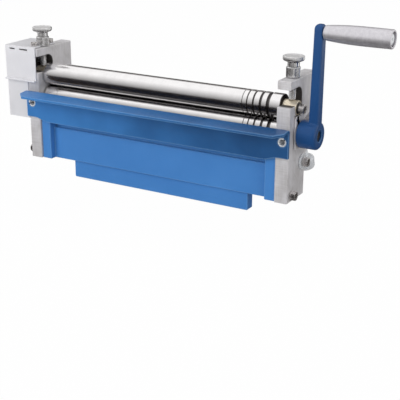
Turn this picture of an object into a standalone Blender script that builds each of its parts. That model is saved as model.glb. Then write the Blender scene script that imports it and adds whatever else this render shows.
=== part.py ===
"""Manual slip roll: two geared feed rolls, a rear bending roll, a bed with a vise tongue and a side crank.

Lengths are in metres.  +X runs along the rolls towards the crank, +Y from the feed side to the back,
+Z is up.  The origin is the middle of the tongue's front face, which a bench vise grips.  Everything is
first described from the machine datum: X = 0 halfway between the side frames, Y = 0 on the frames' front
faces and Z = 0 on the underside of the bed.
"""
import math

import bmesh
import bpy
from mathutils import Matrix, Vector

# Driving dimensions of the machine
FRAME_GAP = 0.305
FRAME_THICKNESS = 0.015
FRAME_HEIGHT = 0.130
FRAME_FOOT_DEPTH = 0.042
FRAME_BRIDGE = 0.009
ROLL_RADIUS = 0.013
ROLL_NIP = 0.0003
ROLL_AXIS_DEPTH = 0.021
ROLL_BED_CLEARANCE = 0.01135
TOP_ROLL_LIFT = 0.012
REAR_ROLL_CLEARANCE = 0.0035
REAR_ROLL_DROP = 0.00635
REAR_SLIDE_TILT = math.radians(15)
REAR_TRAVEL = 0.012
JOURNAL_RADIUS = 0.006
BUSH_WALL = 0.002
CRANK_RADIUS = 0.1062

# Clearances shared by every fit
SEAT_GAP = 0.0003
RUNNING_GAP = 0.00015
CUT_OVERRUN = 0.001

# Places that follow from the driving dimensions
FRAME_INNER = FRAME_GAP / 2
FRAME_OUTER = FRAME_INNER + FRAME_THICKNESS
FRAME_MIDDLE = FRAME_INNER + FRAME_THICKNESS / 2
BUSH_RADIUS = JOURNAL_RADIUS + BUSH_WALL
SLOT_HEADROOM = 0.00235
SLOT_TOP_HEIGHT = FRAME_HEIGHT - FRAME_BRIDGE
TOP_ROLL_HEIGHT = SLOT_TOP_HEIGHT - SLOT_HEADROOM - TOP_ROLL_LIFT - BUSH_RADIUS
LOWER_ROLL_HEIGHT = TOP_ROLL_HEIGHT - 2 * ROLL_RADIUS - ROLL_NIP
BED_HEIGHT = LOWER_ROLL_HEIGHT - ROLL_RADIUS - ROLL_BED_CLEARANCE
REAR_ROLL_DEPTH = ROLL_AXIS_DEPTH + 2 * ROLL_RADIUS + REAR_ROLL_CLEARANCE
REAR_ROLL_HEIGHT = LOWER_ROLL_HEIGHT - REAR_ROLL_DROP
SLIDE_UP = Vector((0, -math.sin(REAR_SLIDE_TILT), math.cos(REAR_SLIDE_TILT)))
SIDES = {"left": -1, "right": 1}

# Steps round a full circle, by the size of the piece
ROLL_STEPS = 28
ROUND_STEPS = 20
SMALL_STEPS = 10
FILLET_STEPS = 3
SMOOTH_ANGLE = math.radians(35)


def clear_scene():
    """Remove whatever the open file holds, so that only the machine is left."""
    for item in list(bpy.data.objects):
        bpy.data.objects.remove(item, do_unlink=True)


# Materials

def linear(channel):
    """Turn one colour channel seen on a screen, 0 to 255, into a linear value."""
    share = channel / 255
    return share / 12.92 if share <= 0.04045 else ((share + 0.055) / 1.055) ** 2.4


def finish(name, colour, roughness, metallic):
    """A plain material from a screen colour, a roughness and a metallic value."""
    material = bpy.data.materials.new(name)
    material.use_nodes = True
    shader = material.node_tree.nodes["Principled BSDF"]
    rgba = [linear(channel) for channel in colour] + [1]
    shader.inputs["Base Color"].default_value = rgba
    shader.inputs["Roughness"].default_value = roughness
    shader.inputs["Metallic"].default_value = metallic
    material.diffuse_color = rgba
    return material


def make_finishes():
    """Every finish on the machine, by name."""
    return {
        "blue_paint": finish("blue_paint", (62, 112, 178), 0.38, 0),
        "machined_steel": finish("machined_steel", (178, 176, 174), 0.42, 1),
        "ground_steel": finish("ground_steel", (226, 224, 222), 0.14, 1),
        "sheet_steel": finish("sheet_steel", (206, 205, 208), 0.45, 0.4),
        "gear_steel": finish("gear_steel", (120, 120, 122), 0.35, 1),
        "bright_zinc": finish("bright_zinc", (206, 206, 206), 0.24, 1),
        "dark_screw_steel": finish("dark_screw_steel", (96, 92, 90), 0.28, 1),
        "bush_brass": finish("bush_brass", (216, 178, 112), 0.28, 1),
        "grip_aluminium": finish("grip_aluminium", (196, 194, 198), 0.4, 1),
    }


# Outlines

def arc(centre, radius, start, end, steps):
    """Points along an arc in a plane, from the start angle to the end angle, both included."""
    points = []
    for step in range(steps + 1):
        angle = start + (end - start) * step / steps
        points.append((centre[0] + radius * math.cos(angle), centre[1] + radius * math.sin(angle)))
    return points


def filleted(corners, steps=FILLET_STEPS):
    """An outline from corners (u, v, fillet radius); a radius of zero keeps the corner sharp."""
    outline = []
    for index, (u, v, radius) in enumerate(corners):
        if radius == 0:
            outline.append((u, v))
            continue
        corner = Vector((u, v))
        before = (Vector(corners[index - 1][:2]) - corner).normalized()
        after = (Vector(corners[(index + 1) % len(corners)][:2]) - corner).normalized()
        half = before.angle(after) / 2
        centre = corner + (before + after).normalized() * radius / math.sin(half)
        first = corner + before * radius / math.tan(half) - centre
        sweep = math.pi - 2 * half
        turn = 1 if before.cross(after) < 0 else -1
        for step in range(steps + 1):
            spoke = Matrix.Rotation(turn * sweep * step / steps, 2) @ first
            outline.append(tuple(centre + spoke))
    return outline


def circle(centre, radius, steps):
    """A closed round outline."""
    return arc(centre, radius, 0, 2 * math.pi, steps)[:-1]


def pulled_in(outline, amount):
    """The outline moved inwards by one amount all round, corner by corner."""
    area = sum(a[0] * b[1] - b[0] * a[1] for a, b in zip(outline, outline[1:] + outline[:1]))
    inward = 1 if area > 0 else -1
    moved = []
    for index, point in enumerate(outline):
        here = Vector(point)
        along_in = (here - Vector(outline[index - 1])).normalized()
        along_out = (Vector(outline[(index + 1) % len(outline)]) - here).normalized()
        normal_in = Vector((-along_in.y, along_in.x)) * inward
        normal_out = Vector((-along_out.y, along_out.x)) * inward
        bisector = (normal_in + normal_out).normalized()
        moved.append(tuple(here + bisector * amount / bisector.dot(normal_in)))
    return moved


# Solids

def along_axis(axis, u, v, distance):
    """The point (u, v) of a plane square to an axis, at a distance along that axis."""
    if axis == "X":
        return Vector((distance, u, v))
    if axis == "Y":
        return Vector((u, distance, v))
    return Vector((u, v, distance))


def bridge(shape, lower, upper):
    """Skin two rings of points that correspond one to one."""
    count = len(lower)
    for index in range(count):
        following = (index + 1) % count
        shape.faces.new((lower[index], lower[following], upper[following], upper[index]))


def prism(outline, axis, start, end, chamfer=0):
    """An outline extruded along an axis, with its end edges broken by a small chamfer."""
    shape = bmesh.new()
    sections = [(outline, start), (outline, end)]
    if chamfer:
        small = pulled_in(outline, chamfer)
        sections = [(small, start), (outline, start + chamfer), (outline, end - chamfer), (small, end)]
    rings = []
    for points, distance in sections:
        rings.append([shape.verts.new(along_axis(axis, u, v, distance)) for u, v in points])
    for lower, upper in zip(rings, rings[1:]):
        bridge(shape, lower, upper)
    shape.faces.new(rings[0])
    shape.faces.new(rings[-1])
    return shape


def block(low, high):
    """A box between two opposite corners."""
    outline = [(low[0], low[1]), (high[0], low[1]), (high[0], high[1]), (low[0], high[1])]
    return prism(outline, "Z", low[2], high[2])


def turned(profile, axis, steps, hollow=False):
    """A profile of (distance along the axis, radius) turned round it; a hollow one closes on itself."""
    shape = bmesh.new()
    rings = []
    for distance, radius in profile:
        if radius == 0:
            rings.append([shape.verts.new(along_axis(axis, 0, 0, distance))])
            continue
        points = circle((0, 0), radius, steps)
        rings.append([shape.verts.new(along_axis(axis, u, v, distance)) for u, v in points])
    pairs = list(zip(rings, rings[1:]))
    if hollow:
        pairs.append((rings[-1], rings[0]))
    for lower, upper in pairs:
        if len(lower) == 1 or len(upper) == 1:
            tip, ring = (lower[0], upper) if len(lower) == 1 else (upper[0], lower)
            for index in range(len(ring)):
                shape.faces.new((tip, ring[index], ring[(index + 1) % len(ring)]))
        else:
            bridge(shape, lower, upper)
    if not hollow:
        for ring in (rings[0], rings[-1]):
            if len(ring) > 1:
                shape.faces.new(ring)
    return shape


def rod(axis, start, end, radius, steps, chamfer=0):
    """A plain round bar, its two ends chamfered if a chamfer is given."""
    if not chamfer:
        return turned([(start, radius), (end, radius)], axis, steps)
    way = math.copysign(chamfer, end - start)
    profile = [(start, radius - chamfer), (start + way, radius), (end - way, radius), (end, radius - chamfer)]
    return turned(profile, axis, steps)


def shifted(shape, offset):
    """The shape moved by an offset."""
    bmesh.ops.translate(shape, vec=Vector(offset), verts=shape.verts)
    return shape


def mirrored(shape, side):
    """The shape as it stands on one side of the machine: side -1 mirrors it across X = 0."""
    if side < 0:
        bmesh.ops.scale(shape, vec=Vector((-1, 1, 1)), verts=shape.verts)
    return shape


def add_piece(name, shape, material, parent, location=(0, 0, 0)):
    """Put a shape into the scene as a named piece with its own finish."""
    bmesh.ops.recalc_face_normals(shape, faces=shape.faces)
    mesh = bpy.data.meshes.new(name)
    shape.to_mesh(mesh)
    shape.free()
    if material:
        mesh.materials.append(material)
    mesh.shade_smooth()
    mesh.set_sharp_from_angle(angle=SMOOTH_ANGLE)
    piece = bpy.data.objects.new(name, mesh)
    piece.location = location
    piece.parent = parent
    bpy.context.scene.collection.objects.link(piece)
    return piece


def combine(piece, shapes, operation):
    """Fuse shapes to a piece, or cut them out of it, in the piece's own coordinates."""
    for shape in shapes:
        tool = add_piece("tool", shape, None, piece)
        modifier = piece.modifiers.new(operation, "BOOLEAN")
        modifier.solver = "EXACT"
        modifier.operation = operation
        modifier.object = tool
        bpy.context.view_layer.update()
        graph = bpy.context.evaluated_depsgraph_get()
        mesh = bpy.data.meshes.new_from_object(piece.evaluated_get(graph))
        piece.modifiers.clear()
        worn = piece.data
        piece.data = mesh
        bpy.data.meshes.remove(worn)
        bpy.data.objects.remove(tool, do_unlink=True)
    piece.data.name = piece.name
    piece.data.shade_smooth()
    piece.data.set_sharp_from_angle(angle=SMOOTH_ANGLE)
    return piece


def cut(piece, shapes):
    """Cut each shape out of the piece."""
    return combine(piece, shapes, "DIFFERENCE")


def fuse(piece, shapes):
    """Join each shape to the piece as one body."""
    return combine(piece, shapes, "UNION")


def add_axis(name, parent, location, rotation=(0, 0, 0)):
    """An empty that carries the pieces of one moving assembly."""
    empty = bpy.data.objects.new(name, None)
    empty.location = location
    empty.rotation_euler = rotation
    empty.parent = parent
    bpy.context.scene.collection.objects.link(empty)
    return empty


# Bed casting: a channel open to the back, with end pads for the frames and a tongue for the vise

BED_PAD_WIDTH = 0.0122
BED_PAD_FRONT = 0.002
BED_PANEL_FRONT = 0.010
BED_WEB_BACK = 0.019
BED_LOWER_FLANGE = 0.008
BED_UPPER_FLANGE = 0.007
BED_LEDGE_DEPTH = 0.004
BED_LEDGE_DROP = 0.0105
BED_LEDGE_FILLET = 0.0018
BED_EDGE_FILLET = 0.001
BED_ROOT_FILLET = 0.003
TONGUE_LENGTH = 0.230
TONGUE_HEIGHT = 0.021
TONGUE_THICKNESS = 0.012
TONGUE_FRONT = 0.014
TONGUE_CORNER = 0.0015

# Screws that hold the frames to the bed, placed from the top back edge and from the bottom front edge
UPPER_SCREW_BACK_INSET = 0.008
UPPER_SCREW_TOP_INSET = 0.0098
LOWER_SCREW_FRONT_INSET = 0.0095
LOWER_SCREW_BOTTOM_INSET = 0.0075
FRAME_SCREW_PLACES = {
    "upper": (FRAME_FOOT_DEPTH - UPPER_SCREW_BACK_INSET, BED_HEIGHT - UPPER_SCREW_TOP_INSET),
    "lower": (LOWER_SCREW_FRONT_INSET, LOWER_SCREW_BOTTOM_INSET),
}
FRAME_SCREW_RADIUS = 0.003
FRAME_SCREW_HEAD_RADIUS = 0.005
FRAME_SCREW_HEAD_LENGTH = 0.006
FRAME_SCREW_REACH = 0.010
FRAME_SCREW_HOLE_RUNOUT = 0.0015
HEX_SOCKET_DEPTH_SHARE = 0.55
HEX_SOCKET_RADIUS_SHARE = 0.55
HEX_SIDES = 6
HEAD_CHAMFER_SHARE = 0.12
WASHER_RADIUS = 0.0085
WASHER_THICKNESS = 0.0015


def bed_front_recess():
    """What is cut away in front between the pads: ahead of the panel, and above the ledge on its top."""
    ahead = BED_PAD_FRONT - CUT_OVERRUN
    ledge = BED_HEIGHT - BED_LEDGE_DROP
    ledge_back = BED_PANEL_FRONT + BED_LEDGE_DEPTH
    return filleted([
        (ahead, -CUT_OVERRUN, 0),
        (BED_PANEL_FRONT, -CUT_OVERRUN, 0),
        (BED_PANEL_FRONT, ledge, BED_LEDGE_FILLET),
        (ledge_back, ledge, BED_EDGE_FILLET),
        (ledge_back, BED_HEIGHT + CUT_OVERRUN, 0),
        (ahead, BED_HEIGHT + CUT_OVERRUN, 0),
    ])


def bed_back_recess():
    """What is cut away behind the web, between the two flanges."""
    behind = FRAME_FOOT_DEPTH + CUT_OVERRUN
    return filleted([
        (BED_WEB_BACK, BED_LOWER_FLANGE, BED_ROOT_FILLET),
        (behind, BED_LOWER_FLANGE, 0),
        (behind, BED_HEIGHT - BED_UPPER_FLANGE, 0),
        (BED_WEB_BACK, BED_HEIGHT - BED_UPPER_FLANGE, BED_ROOT_FILLET),
    ])


def make_bed(machine, paint):
    """The bed casting, with blind holes in its pads for the frame screws."""
    bed_end = FRAME_INNER - SEAT_GAP
    pad_start = bed_end - BED_PAD_WIDTH
    outside = filleted([
        (BED_PAD_FRONT, 0, BED_EDGE_FILLET),
        (FRAME_FOOT_DEPTH, 0, BED_EDGE_FILLET),
        (FRAME_FOOT_DEPTH, BED_HEIGHT, BED_EDGE_FILLET),
        (BED_PAD_FRONT, BED_HEIGHT, BED_EDGE_FILLET),
    ])
    bed = add_piece("bed_casting", prism(outside, "X", -bed_end, bed_end), paint, machine)
    cut(bed, [prism(bed_front_recess(), "X", -pad_start, pad_start),
              prism(bed_back_recess(), "X", -pad_start, pad_start)])
    tongue_back = TONGUE_FRONT + TONGUE_THICKNESS
    tongue_outline = filleted([
        (-TONGUE_LENGTH / 2, -TONGUE_HEIGHT, TONGUE_CORNER),
        (TONGUE_LENGTH / 2, -TONGUE_HEIGHT, TONGUE_CORNER),
        (TONGUE_LENGTH / 2, BED_LOWER_FLANGE / 2, 0),
        (-TONGUE_LENGTH / 2, BED_LOWER_FLANGE / 2, 0),
    ])
    fuse(bed, [prism(tongue_outline, "Y", TONGUE_FRONT, tongue_back)])
    for side in SIDES.values():
        for depth, height in FRAME_SCREW_PLACES.values():
            start = bed_end - FRAME_SCREW_REACH - FRAME_SCREW_HOLE_RUNOUT
            hole = rod("X", start, bed_end + CUT_OVERRUN, FRAME_SCREW_RADIUS + SEAT_GAP, SMALL_STEPS)
            cut(bed, [mirrored(shifted(hole, (0, depth, height)), side)])
    return bed


# Side frames: machined plates with an open slot for the top bush and a slanted window at the back

SLOT_LIP_RISE = 0.00385
SLOT_POCKET_STEPS = 10
FRAME_CHAMFER = 0.0006
OVERHANG_FILLET = 0.004
OVERHANG_WALL = 0.0085
FRAME_REAR_WALL = 0.0055
REAR_BLOCK_HALF = 0.009
FRAME_DEPTH = REAR_ROLL_DEPTH + REAR_BLOCK_HALF + FRAME_REAR_WALL
TOP_SCREW_RADIUS = 0.004
REAR_SCREW_RADIUS = 0.004
SLOTTED_PIN_RADIUS = 0.0047
SLOTTED_PIN_DROP = 0.00535
SLOTTED_PIN_HEIGHT = LOWER_ROLL_HEIGHT - SLOTTED_PIN_DROP
SLOTTED_PIN_REACH = 0.010
SLOTTED_PIN_OUTSET = 0.001
SLOTTED_PIN_X = FRAME_MIDDLE + SLOTTED_PIN_OUTSET
KEEPER_SCREW_RADIUS = 0.0018
KEEPER_SCREW_REACH = 0.006


def slot_outline():
    """The slot open to the front with a pocket behind its lip, where the top bush rests."""
    pocket_half = BUSH_RADIUS + SEAT_GAP
    pocket_back = ROLL_AXIS_DEPTH + pocket_half
    lip_height = TOP_ROLL_HEIGHT + SLOT_LIP_RISE
    slot_radius = (SLOT_TOP_HEIGHT - lip_height) / 2
    slot_centre = (pocket_back - slot_radius, lip_height + slot_radius)
    pocket = arc((ROLL_AXIS_DEPTH, TOP_ROLL_HEIGHT), pocket_half, math.pi, 2 * math.pi, SLOT_POCKET_STEPS)
    top = arc(slot_centre, slot_radius, 0, math.pi / 2, SLOT_POCKET_STEPS // 2)
    mouth = -CUT_OVERRUN
    lip = [(mouth, lip_height), (ROLL_AXIS_DEPTH - pocket_half, lip_height)]
    return lip + pocket + top + [(mouth, SLOT_TOP_HEIGHT)]


def overhang_underside(depth):
    """Height of the overhang's sloping underside at a depth: square to the rear slide."""
    floor = Vector((REAR_ROLL_DEPTH, REAR_ROLL_HEIGHT)) - (
        REAR_BLOCK_HALF + SEAT_GAP + OVERHANG_WALL) * Vector((SLIDE_UP.y, SLIDE_UP.z))
    return floor.y + (depth - floor.x) * math.tan(REAR_SLIDE_TILT)


def frame_outline():
    """Side view of a frame: a foot, an overhang to the back and the open slot for the top bush."""
    body = filleted([
        (0, 0, 0),
        (FRAME_FOOT_DEPTH, 0, 0),
        (FRAME_FOOT_DEPTH, overhang_underside(FRAME_FOOT_DEPTH), OVERHANG_FILLET),
        (FRAME_DEPTH, overhang_underside(FRAME_DEPTH), 0),
        (FRAME_DEPTH, FRAME_HEIGHT, 0),
        (0, FRAME_HEIGHT, 0),
    ])
    mouth = [(max(depth, 0), height) for depth, height in slot_outline()]
    return body + mouth[::-1]


def window_cutter():
    """The slanted window that the rear bearing block slides in."""
    half = REAR_BLOCK_HALF + SEAT_GAP
    corners = [(-half, -half), (half, -half), (half, half + REAR_TRAVEL), (-half, half + REAR_TRAVEL)]
    window = prism(corners, "X", FRAME_INNER - CUT_OVERRUN, FRAME_OUTER + CUT_OVERRUN)
    return tilted(window)


def tilted(shape):
    """Lean a shape like the rear slide and carry it to the rear roll's axis."""
    bmesh.ops.rotate(shape, matrix=Matrix.Rotation(REAR_SLIDE_TILT, 3, "X"), verts=shape.verts)
    return shifted(shape, (0, REAR_ROLL_DEPTH, REAR_ROLL_HEIGHT))


def make_frame(side_name, machine, steel):
    """One side frame with its slot, window, bore and screw holes."""
    side = SIDES[side_name]
    inner = FRAME_INNER - CUT_OVERRUN
    outer = FRAME_OUTER + CUT_OVERRUN
    plate = prism(frame_outline(), "X", FRAME_INNER, FRAME_OUTER, FRAME_CHAMFER)
    frame = add_piece("frame_" + side_name, mirrored(plate, side), steel, machine)
    bore = rod("X", inner, outer, BUSH_RADIUS + SEAT_GAP, ROUND_STEPS)
    holes = [window_cutter(), shifted(bore, (0, ROLL_AXIS_DEPTH, LOWER_ROLL_HEIGHT))]
    for depth, height in FRAME_SCREW_PLACES.values():
        hole = rod("X", inner, outer, FRAME_SCREW_RADIUS + SEAT_GAP, SMALL_STEPS)
        holes.append(shifted(hole, (0, depth, height)))
    for depth, height in keeper_screw_places().values():
        start = FRAME_OUTER - KEEPER_SCREW_REACH - SEAT_GAP
        hole = rod("X", start, outer, KEEPER_SCREW_RADIUS + SEAT_GAP, SMALL_STEPS)
        holes.append(shifted(hole, (0, depth, height)))
    thread = rod("Z", TOP_ROLL_HEIGHT + BUSH_RADIUS, FRAME_HEIGHT + CUT_OVERRUN,
                 TOP_SCREW_RADIUS + SEAT_GAP, SMALL_STEPS)
    holes.append(shifted(thread, (FRAME_MIDDLE, ROLL_AXIS_DEPTH, 0)))
    wall_end = REAR_BLOCK_HALF + OVERHANG_WALL + SEAT_GAP + CUT_OVERRUN
    rear_thread = rod("Z", -wall_end, -REAR_BLOCK_HALF, REAR_SCREW_RADIUS + SEAT_GAP, SMALL_STEPS)
    holes.append(tilted(shifted(rear_thread, (FRAME_MIDDLE, 0, 0))))
    pin_hole = rod("Y", -CUT_OVERRUN, SLOTTED_PIN_REACH + SEAT_GAP,
                   SLOTTED_PIN_RADIUS + SEAT_GAP, SMALL_STEPS)
    holes.append(shifted(pin_hole, (SLOTTED_PIN_X, 0, SLOTTED_PIN_HEIGHT)))
    if side_name == "left":
        for x, depth in cover_screw_places().values():
            start = FRAME_HEIGHT - COVER_SCREW_REACH - SEAT_GAP
            hole = rod("Z", start, FRAME_HEIGHT + CUT_OVERRUN, COVER_SCREW_RADIUS + SEAT_GAP, SMALL_STEPS)
            holes.append(shifted(hole, (x, depth, 0)))
    return cut(frame, [mirrored(hole, side) for hole in holes])


# Fasteners

def socket_screw(shank_radius, shank_length, head_radius, head_length):
    """A socket cap screw: the head starts at zero and points along +X, the shank runs along -X."""
    chamfer = head_radius * HEAD_CHAMFER_SHARE
    socket_radius = head_radius * HEX_SOCKET_RADIUS_SHARE
    socket_floor = head_length * (1 - HEX_SOCKET_DEPTH_SHARE)
    profile = [(-shank_length, shank_radius), (0, shank_radius), (0, head_radius),
               (head_length - chamfer, head_radius), (head_length, head_radius - chamfer)]
    screw = add_piece("tool_screw", turned(profile, "X", SMALL_STEPS), None, None)
    socket = prism(circle((0, 0), socket_radius, HEX_SIDES), "X", socket_floor, head_length + CUT_OVERRUN)
    cut(screw, [socket])
    shape = bmesh.new()
    shape.from_mesh(screw.data)
    bpy.data.objects.remove(screw, do_unlink=True)
    return shape


def ring(axis, start, end, inner_radius, outer_radius, steps):
    """A plain ring, such as a washer or a bush."""
    profile = [(start, inner_radius), (end, inner_radius), (end, outer_radius), (start, outer_radius)]
    return turned(profile, axis, steps, hollow=True)


def make_frame_screws(machine, steel):
    """Four socket cap screws that hold the two frames to the bed, the upper ones on washers."""
    for side_name, side in SIDES.items():
        for level, (depth, height) in FRAME_SCREW_PLACES.items():
            seat = FRAME_OUTER + SEAT_GAP
            if level == "upper":
                washer = ring("X", seat, seat + WASHER_THICKNESS, FRAME_SCREW_RADIUS + SEAT_GAP,
                              WASHER_RADIUS, ROUND_STEPS)
                add_piece("frame_screw_washer_" + side_name, mirrored(washer, side), steel, machine,
                          (0, depth, height))
                seat += WASHER_THICKNESS + SEAT_GAP
            length = seat - FRAME_INNER + FRAME_SCREW_REACH
            screw = socket_screw(FRAME_SCREW_RADIUS, length, FRAME_SCREW_HEAD_RADIUS, FRAME_SCREW_HEAD_LENGTH)
            name = "frame_screw_" + side_name + "_" + level
            add_piece(name, mirrored(shifted(screw, (seat, 0, 0)), side), steel, machine, (0, depth, height))


# Feed plate: bent sheet on the frames' front faces, its lip guiding the work into the rolls

FEED_PLATE_THICKNESS = 0.003
FEED_PLATE_OVERHANG = 0.001
FEED_PLATE_RISE = 0.00895
FEED_PLATE_TOP = LOWER_ROLL_HEIGHT + FEED_PLATE_RISE
FEED_PLATE_LAP = 0.002
FEED_PLATE_BOTTOM = BED_HEIGHT - FEED_PLATE_LAP
FEED_PLATE_EAR_STEP = 0.004
FEED_PLATE_EAR_LENGTH = 0.0267
FEED_PLATE_EAR_SLOPE = 0.0130
FEED_PLATE_EAR_FILLET = 0.018
FEED_LIP_REACH = 0.0235
FEED_LIP_DROP = 0.0023
FEED_LIP_CORNER = 0.009
FEED_BEND_RADIUS = 0.0035


def make_feed_plate(machine, paint):
    """The bent plate, its lip's corners cut off and its lower edge sloping up over the frames."""
    back = -SEAT_GAP
    front = back - FEED_PLATE_THICKNESS
    lip_front = back - FEED_LIP_REACH
    lip_slope = FEED_LIP_DROP / FEED_LIP_REACH
    under_lip = FEED_PLATE_TOP - FEED_PLATE_THICKNESS * (1 + lip_slope)
    section = filleted([
        (back, FEED_PLATE_BOTTOM, 0),
        (back, FEED_PLATE_TOP, FEED_BEND_RADIUS),
        (lip_front, FEED_PLATE_TOP - FEED_LIP_DROP, 0),
        (lip_front, FEED_PLATE_TOP - FEED_LIP_DROP - FEED_PLATE_THICKNESS, 0),
        (front, under_lip, FEED_BEND_RADIUS - FEED_PLATE_THICKNESS / 2),
        (front, FEED_PLATE_BOTTOM, 0),
    ])
    half = FRAME_OUTER + FEED_PLATE_OVERHANG
    plate = add_piece("feed_plate", prism(section, "X", -half, half), paint, machine)
    cutters = []
    for side in SIDES.values():
        corner = [(half + CUT_OVERRUN, lip_front - CUT_OVERRUN),
                  (half + CUT_OVERRUN, lip_front + FEED_LIP_CORNER + CUT_OVERRUN),
                  (half - FEED_LIP_CORNER - CUT_OVERRUN, lip_front - CUT_OVERRUN)]
        cutters.append(mirrored(prism(corner, "Z", FEED_PLATE_BOTTOM, FEED_PLATE_TOP + CUT_OVERRUN), side))
        ear_start = half - FEED_PLATE_EAR_LENGTH
        ear_bottom = FEED_PLATE_BOTTOM + FEED_PLATE_EAR_STEP
        notch = filleted([
            (ear_start, FEED_PLATE_BOTTOM - CUT_OVERRUN, 0),
            (half + CUT_OVERRUN, FEED_PLATE_BOTTOM - CUT_OVERRUN, 0),
            (half + CUT_OVERRUN, ear_bottom, 0),
            (ear_start + FEED_PLATE_EAR_SLOPE, ear_bottom, FEED_PLATE_EAR_FILLET),
            (ear_start, FEED_PLATE_BOTTOM, 0),
        ])
        cutters.append(mirrored(prism(notch, "Y", front - CUT_OVERRUN, back + CUT_OVERRUN), side))
        hole = rod("Y", front - CUT_OVERRUN, back + CUT_OVERRUN, SLOTTED_PIN_RADIUS + SEAT_GAP, SMALL_STEPS)
        cutters.append(mirrored(shifted(hole, (SLOTTED_PIN_X, 0, SLOTTED_PIN_HEIGHT)), side))
    return cut(plate, cutters)


SLOTTED_PIN_WALL = 0.0015
SLOTTED_PIN_SLIT = math.radians(24)
SLOTTED_PIN_STEPS = 14
SLOTTED_PIN_SLIT_TURN = {"left": math.radians(200), "right": math.radians(50)}


def make_feed_plate_pins(machine, steel):
    """Two slotted spring pins that hold the feed plate to the frames."""
    front = -SEAT_GAP - FEED_PLATE_THICKNESS
    for side_name, side in SIDES.items():
        start = SLOTTED_PIN_SLIT_TURN[side_name] + SLOTTED_PIN_SLIT / 2
        end = start + 2 * math.pi - SLOTTED_PIN_SLIT
        outer = arc((0, 0), SLOTTED_PIN_RADIUS, start, end, SLOTTED_PIN_STEPS)
        inner = arc((0, 0), SLOTTED_PIN_RADIUS - SLOTTED_PIN_WALL, end, start, SLOTTED_PIN_STEPS)
        pin = prism(outer + inner, "Y", front, SLOTTED_PIN_REACH)
        place = (side * SLOTTED_PIN_X, 0, SLOTTED_PIN_HEIGHT)
        add_piece("feed_plate_pin_" + side_name, pin, steel, machine, place)


# Bushes, and the keeper plates that hold the lower ones in

KEEPER_THICKNESS = 0.0024
KEEPER_AHEAD = 0.0105
KEEPER_FRONT = ROLL_AXIS_DEPTH - KEEPER_AHEAD
KEEPER_BEHIND = 0.009
KEEPER_BACK = ROLL_AXIS_DEPTH + KEEPER_BEHIND
KEEPER_DROP = 0.01535
KEEPER_BOTTOM = LOWER_ROLL_HEIGHT - KEEPER_DROP
KEEPER_TOP = TOP_ROLL_HEIGHT - JOURNAL_RADIUS - SEAT_GAP
KEEPER_CHAMFER = 0.0005
KEEPER_EDGE = 0.0035
KEEPER_HEAD_RADIUS = 0.0028
KEEPER_HEAD_LENGTH = 0.0012
BUSH_OVERHANG = 0.0008


def keeper_screw_places():
    """Axes of the two keeper screws, near opposite corners of the plate."""
    return {"upper": (KEEPER_FRONT + KEEPER_EDGE, KEEPER_TOP - KEEPER_EDGE),
            "lower": (KEEPER_BACK - KEEPER_EDGE, KEEPER_BOTTOM + KEEPER_EDGE)}


def make_lower_bushes(machine, brass):
    """The two plain brass bushes of the lower roll, fixed in the frames."""
    for side_name, side in SIDES.items():
        bush = ring("X", FRAME_INNER, FRAME_OUTER, JOURNAL_RADIUS + RUNNING_GAP, BUSH_RADIUS, ROUND_STEPS)
        place = (0, ROLL_AXIS_DEPTH, LOWER_ROLL_HEIGHT)
        add_piece("lower_bush_" + side_name, mirrored(bush, side), brass, machine, place)


def make_bearing_keepers(machine, steel, screw_steel):
    """A steel plate over each lower bush, held by two small screws."""
    seat = FRAME_OUTER + SEAT_GAP
    face = seat + KEEPER_THICKNESS
    outline = [(KEEPER_FRONT, KEEPER_BOTTOM), (KEEPER_BACK, KEEPER_BOTTOM),
               (KEEPER_BACK, KEEPER_TOP), (KEEPER_FRONT, KEEPER_TOP)]
    for side_name, side in SIDES.items():
        plate = mirrored(prism(outline, "X", seat, face, KEEPER_CHAMFER), side)
        keeper = add_piece("bearing_keeper_" + side_name, plate, steel, machine)
        hole = rod("X", seat - CUT_OVERRUN, face + CUT_OVERRUN, JOURNAL_RADIUS + SEAT_GAP, ROUND_STEPS)
        holes = [shifted(hole, (0, ROLL_AXIS_DEPTH, LOWER_ROLL_HEIGHT))]
        for level, (depth, height) in keeper_screw_places().items():
            sink = KEEPER_SCREW_RADIUS + SEAT_GAP
            head = KEEPER_HEAD_RADIUS + SEAT_GAP
            floor = face - KEEPER_HEAD_LENGTH - SEAT_GAP
            profile = [(seat - CUT_OVERRUN, sink), (floor, sink), (floor, head), (face + CUT_OVERRUN, head)]
            holes.append(shifted(turned(profile, "X", SMALL_STEPS), (0, depth, height)))
            screw = socket_screw(KEEPER_SCREW_RADIUS, floor + SEAT_GAP - FRAME_OUTER + KEEPER_SCREW_REACH,
                                 KEEPER_HEAD_RADIUS, KEEPER_HEAD_LENGTH)
            name = "keeper_screw_" + side_name + "_" + level
            screw = mirrored(shifted(screw, (floor + SEAT_GAP, 0, 0)), side)
            add_piece(name, screw, screw_steel, machine, (0, depth, height))
        cut(keeper, [mirrored(tool, side) for tool in holes])


# Rolls: ground bars with journals; the front pair has wire grooves at the crank end

ROLL_END_PLAY = 0.0012
ROLL_END_CHAMFER = 0.0006
WIRE_GROOVE_INSET = 0.0193
WIRE_GROOVE_WIDTH = 0.0025
WIRE_GROOVE_WIDTH_SHARES = (1, 0.8, 0.64, 0.48, 0.28)
WIRE_GROOVE_PITCH = 0.009
WIRE_GROOVE_PITCH_SHARES = (1, 0.833, 0.778, 0.833)
TOP_JOURNAL_PROUD = 0.001
TOP_JOURNAL_END = FRAME_OUTER + TOP_JOURNAL_PROUD
GEAR_WIDTH = 0.012
GEAR_PLAY = 0.0005
GEAR_END = FRAME_OUTER + KEEPER_THICKNESS + SEAT_GAP + GEAR_PLAY + GEAR_WIDTH
ROLL_END = FRAME_INNER - ROLL_END_PLAY
TAPPED_DEPTH = 0.010
END_SCREW_RADIUS = 0.003
END_SCREW_HEAD_RADIUS = 0.005
END_SCREW_HEAD_LENGTH = 0.006
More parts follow.
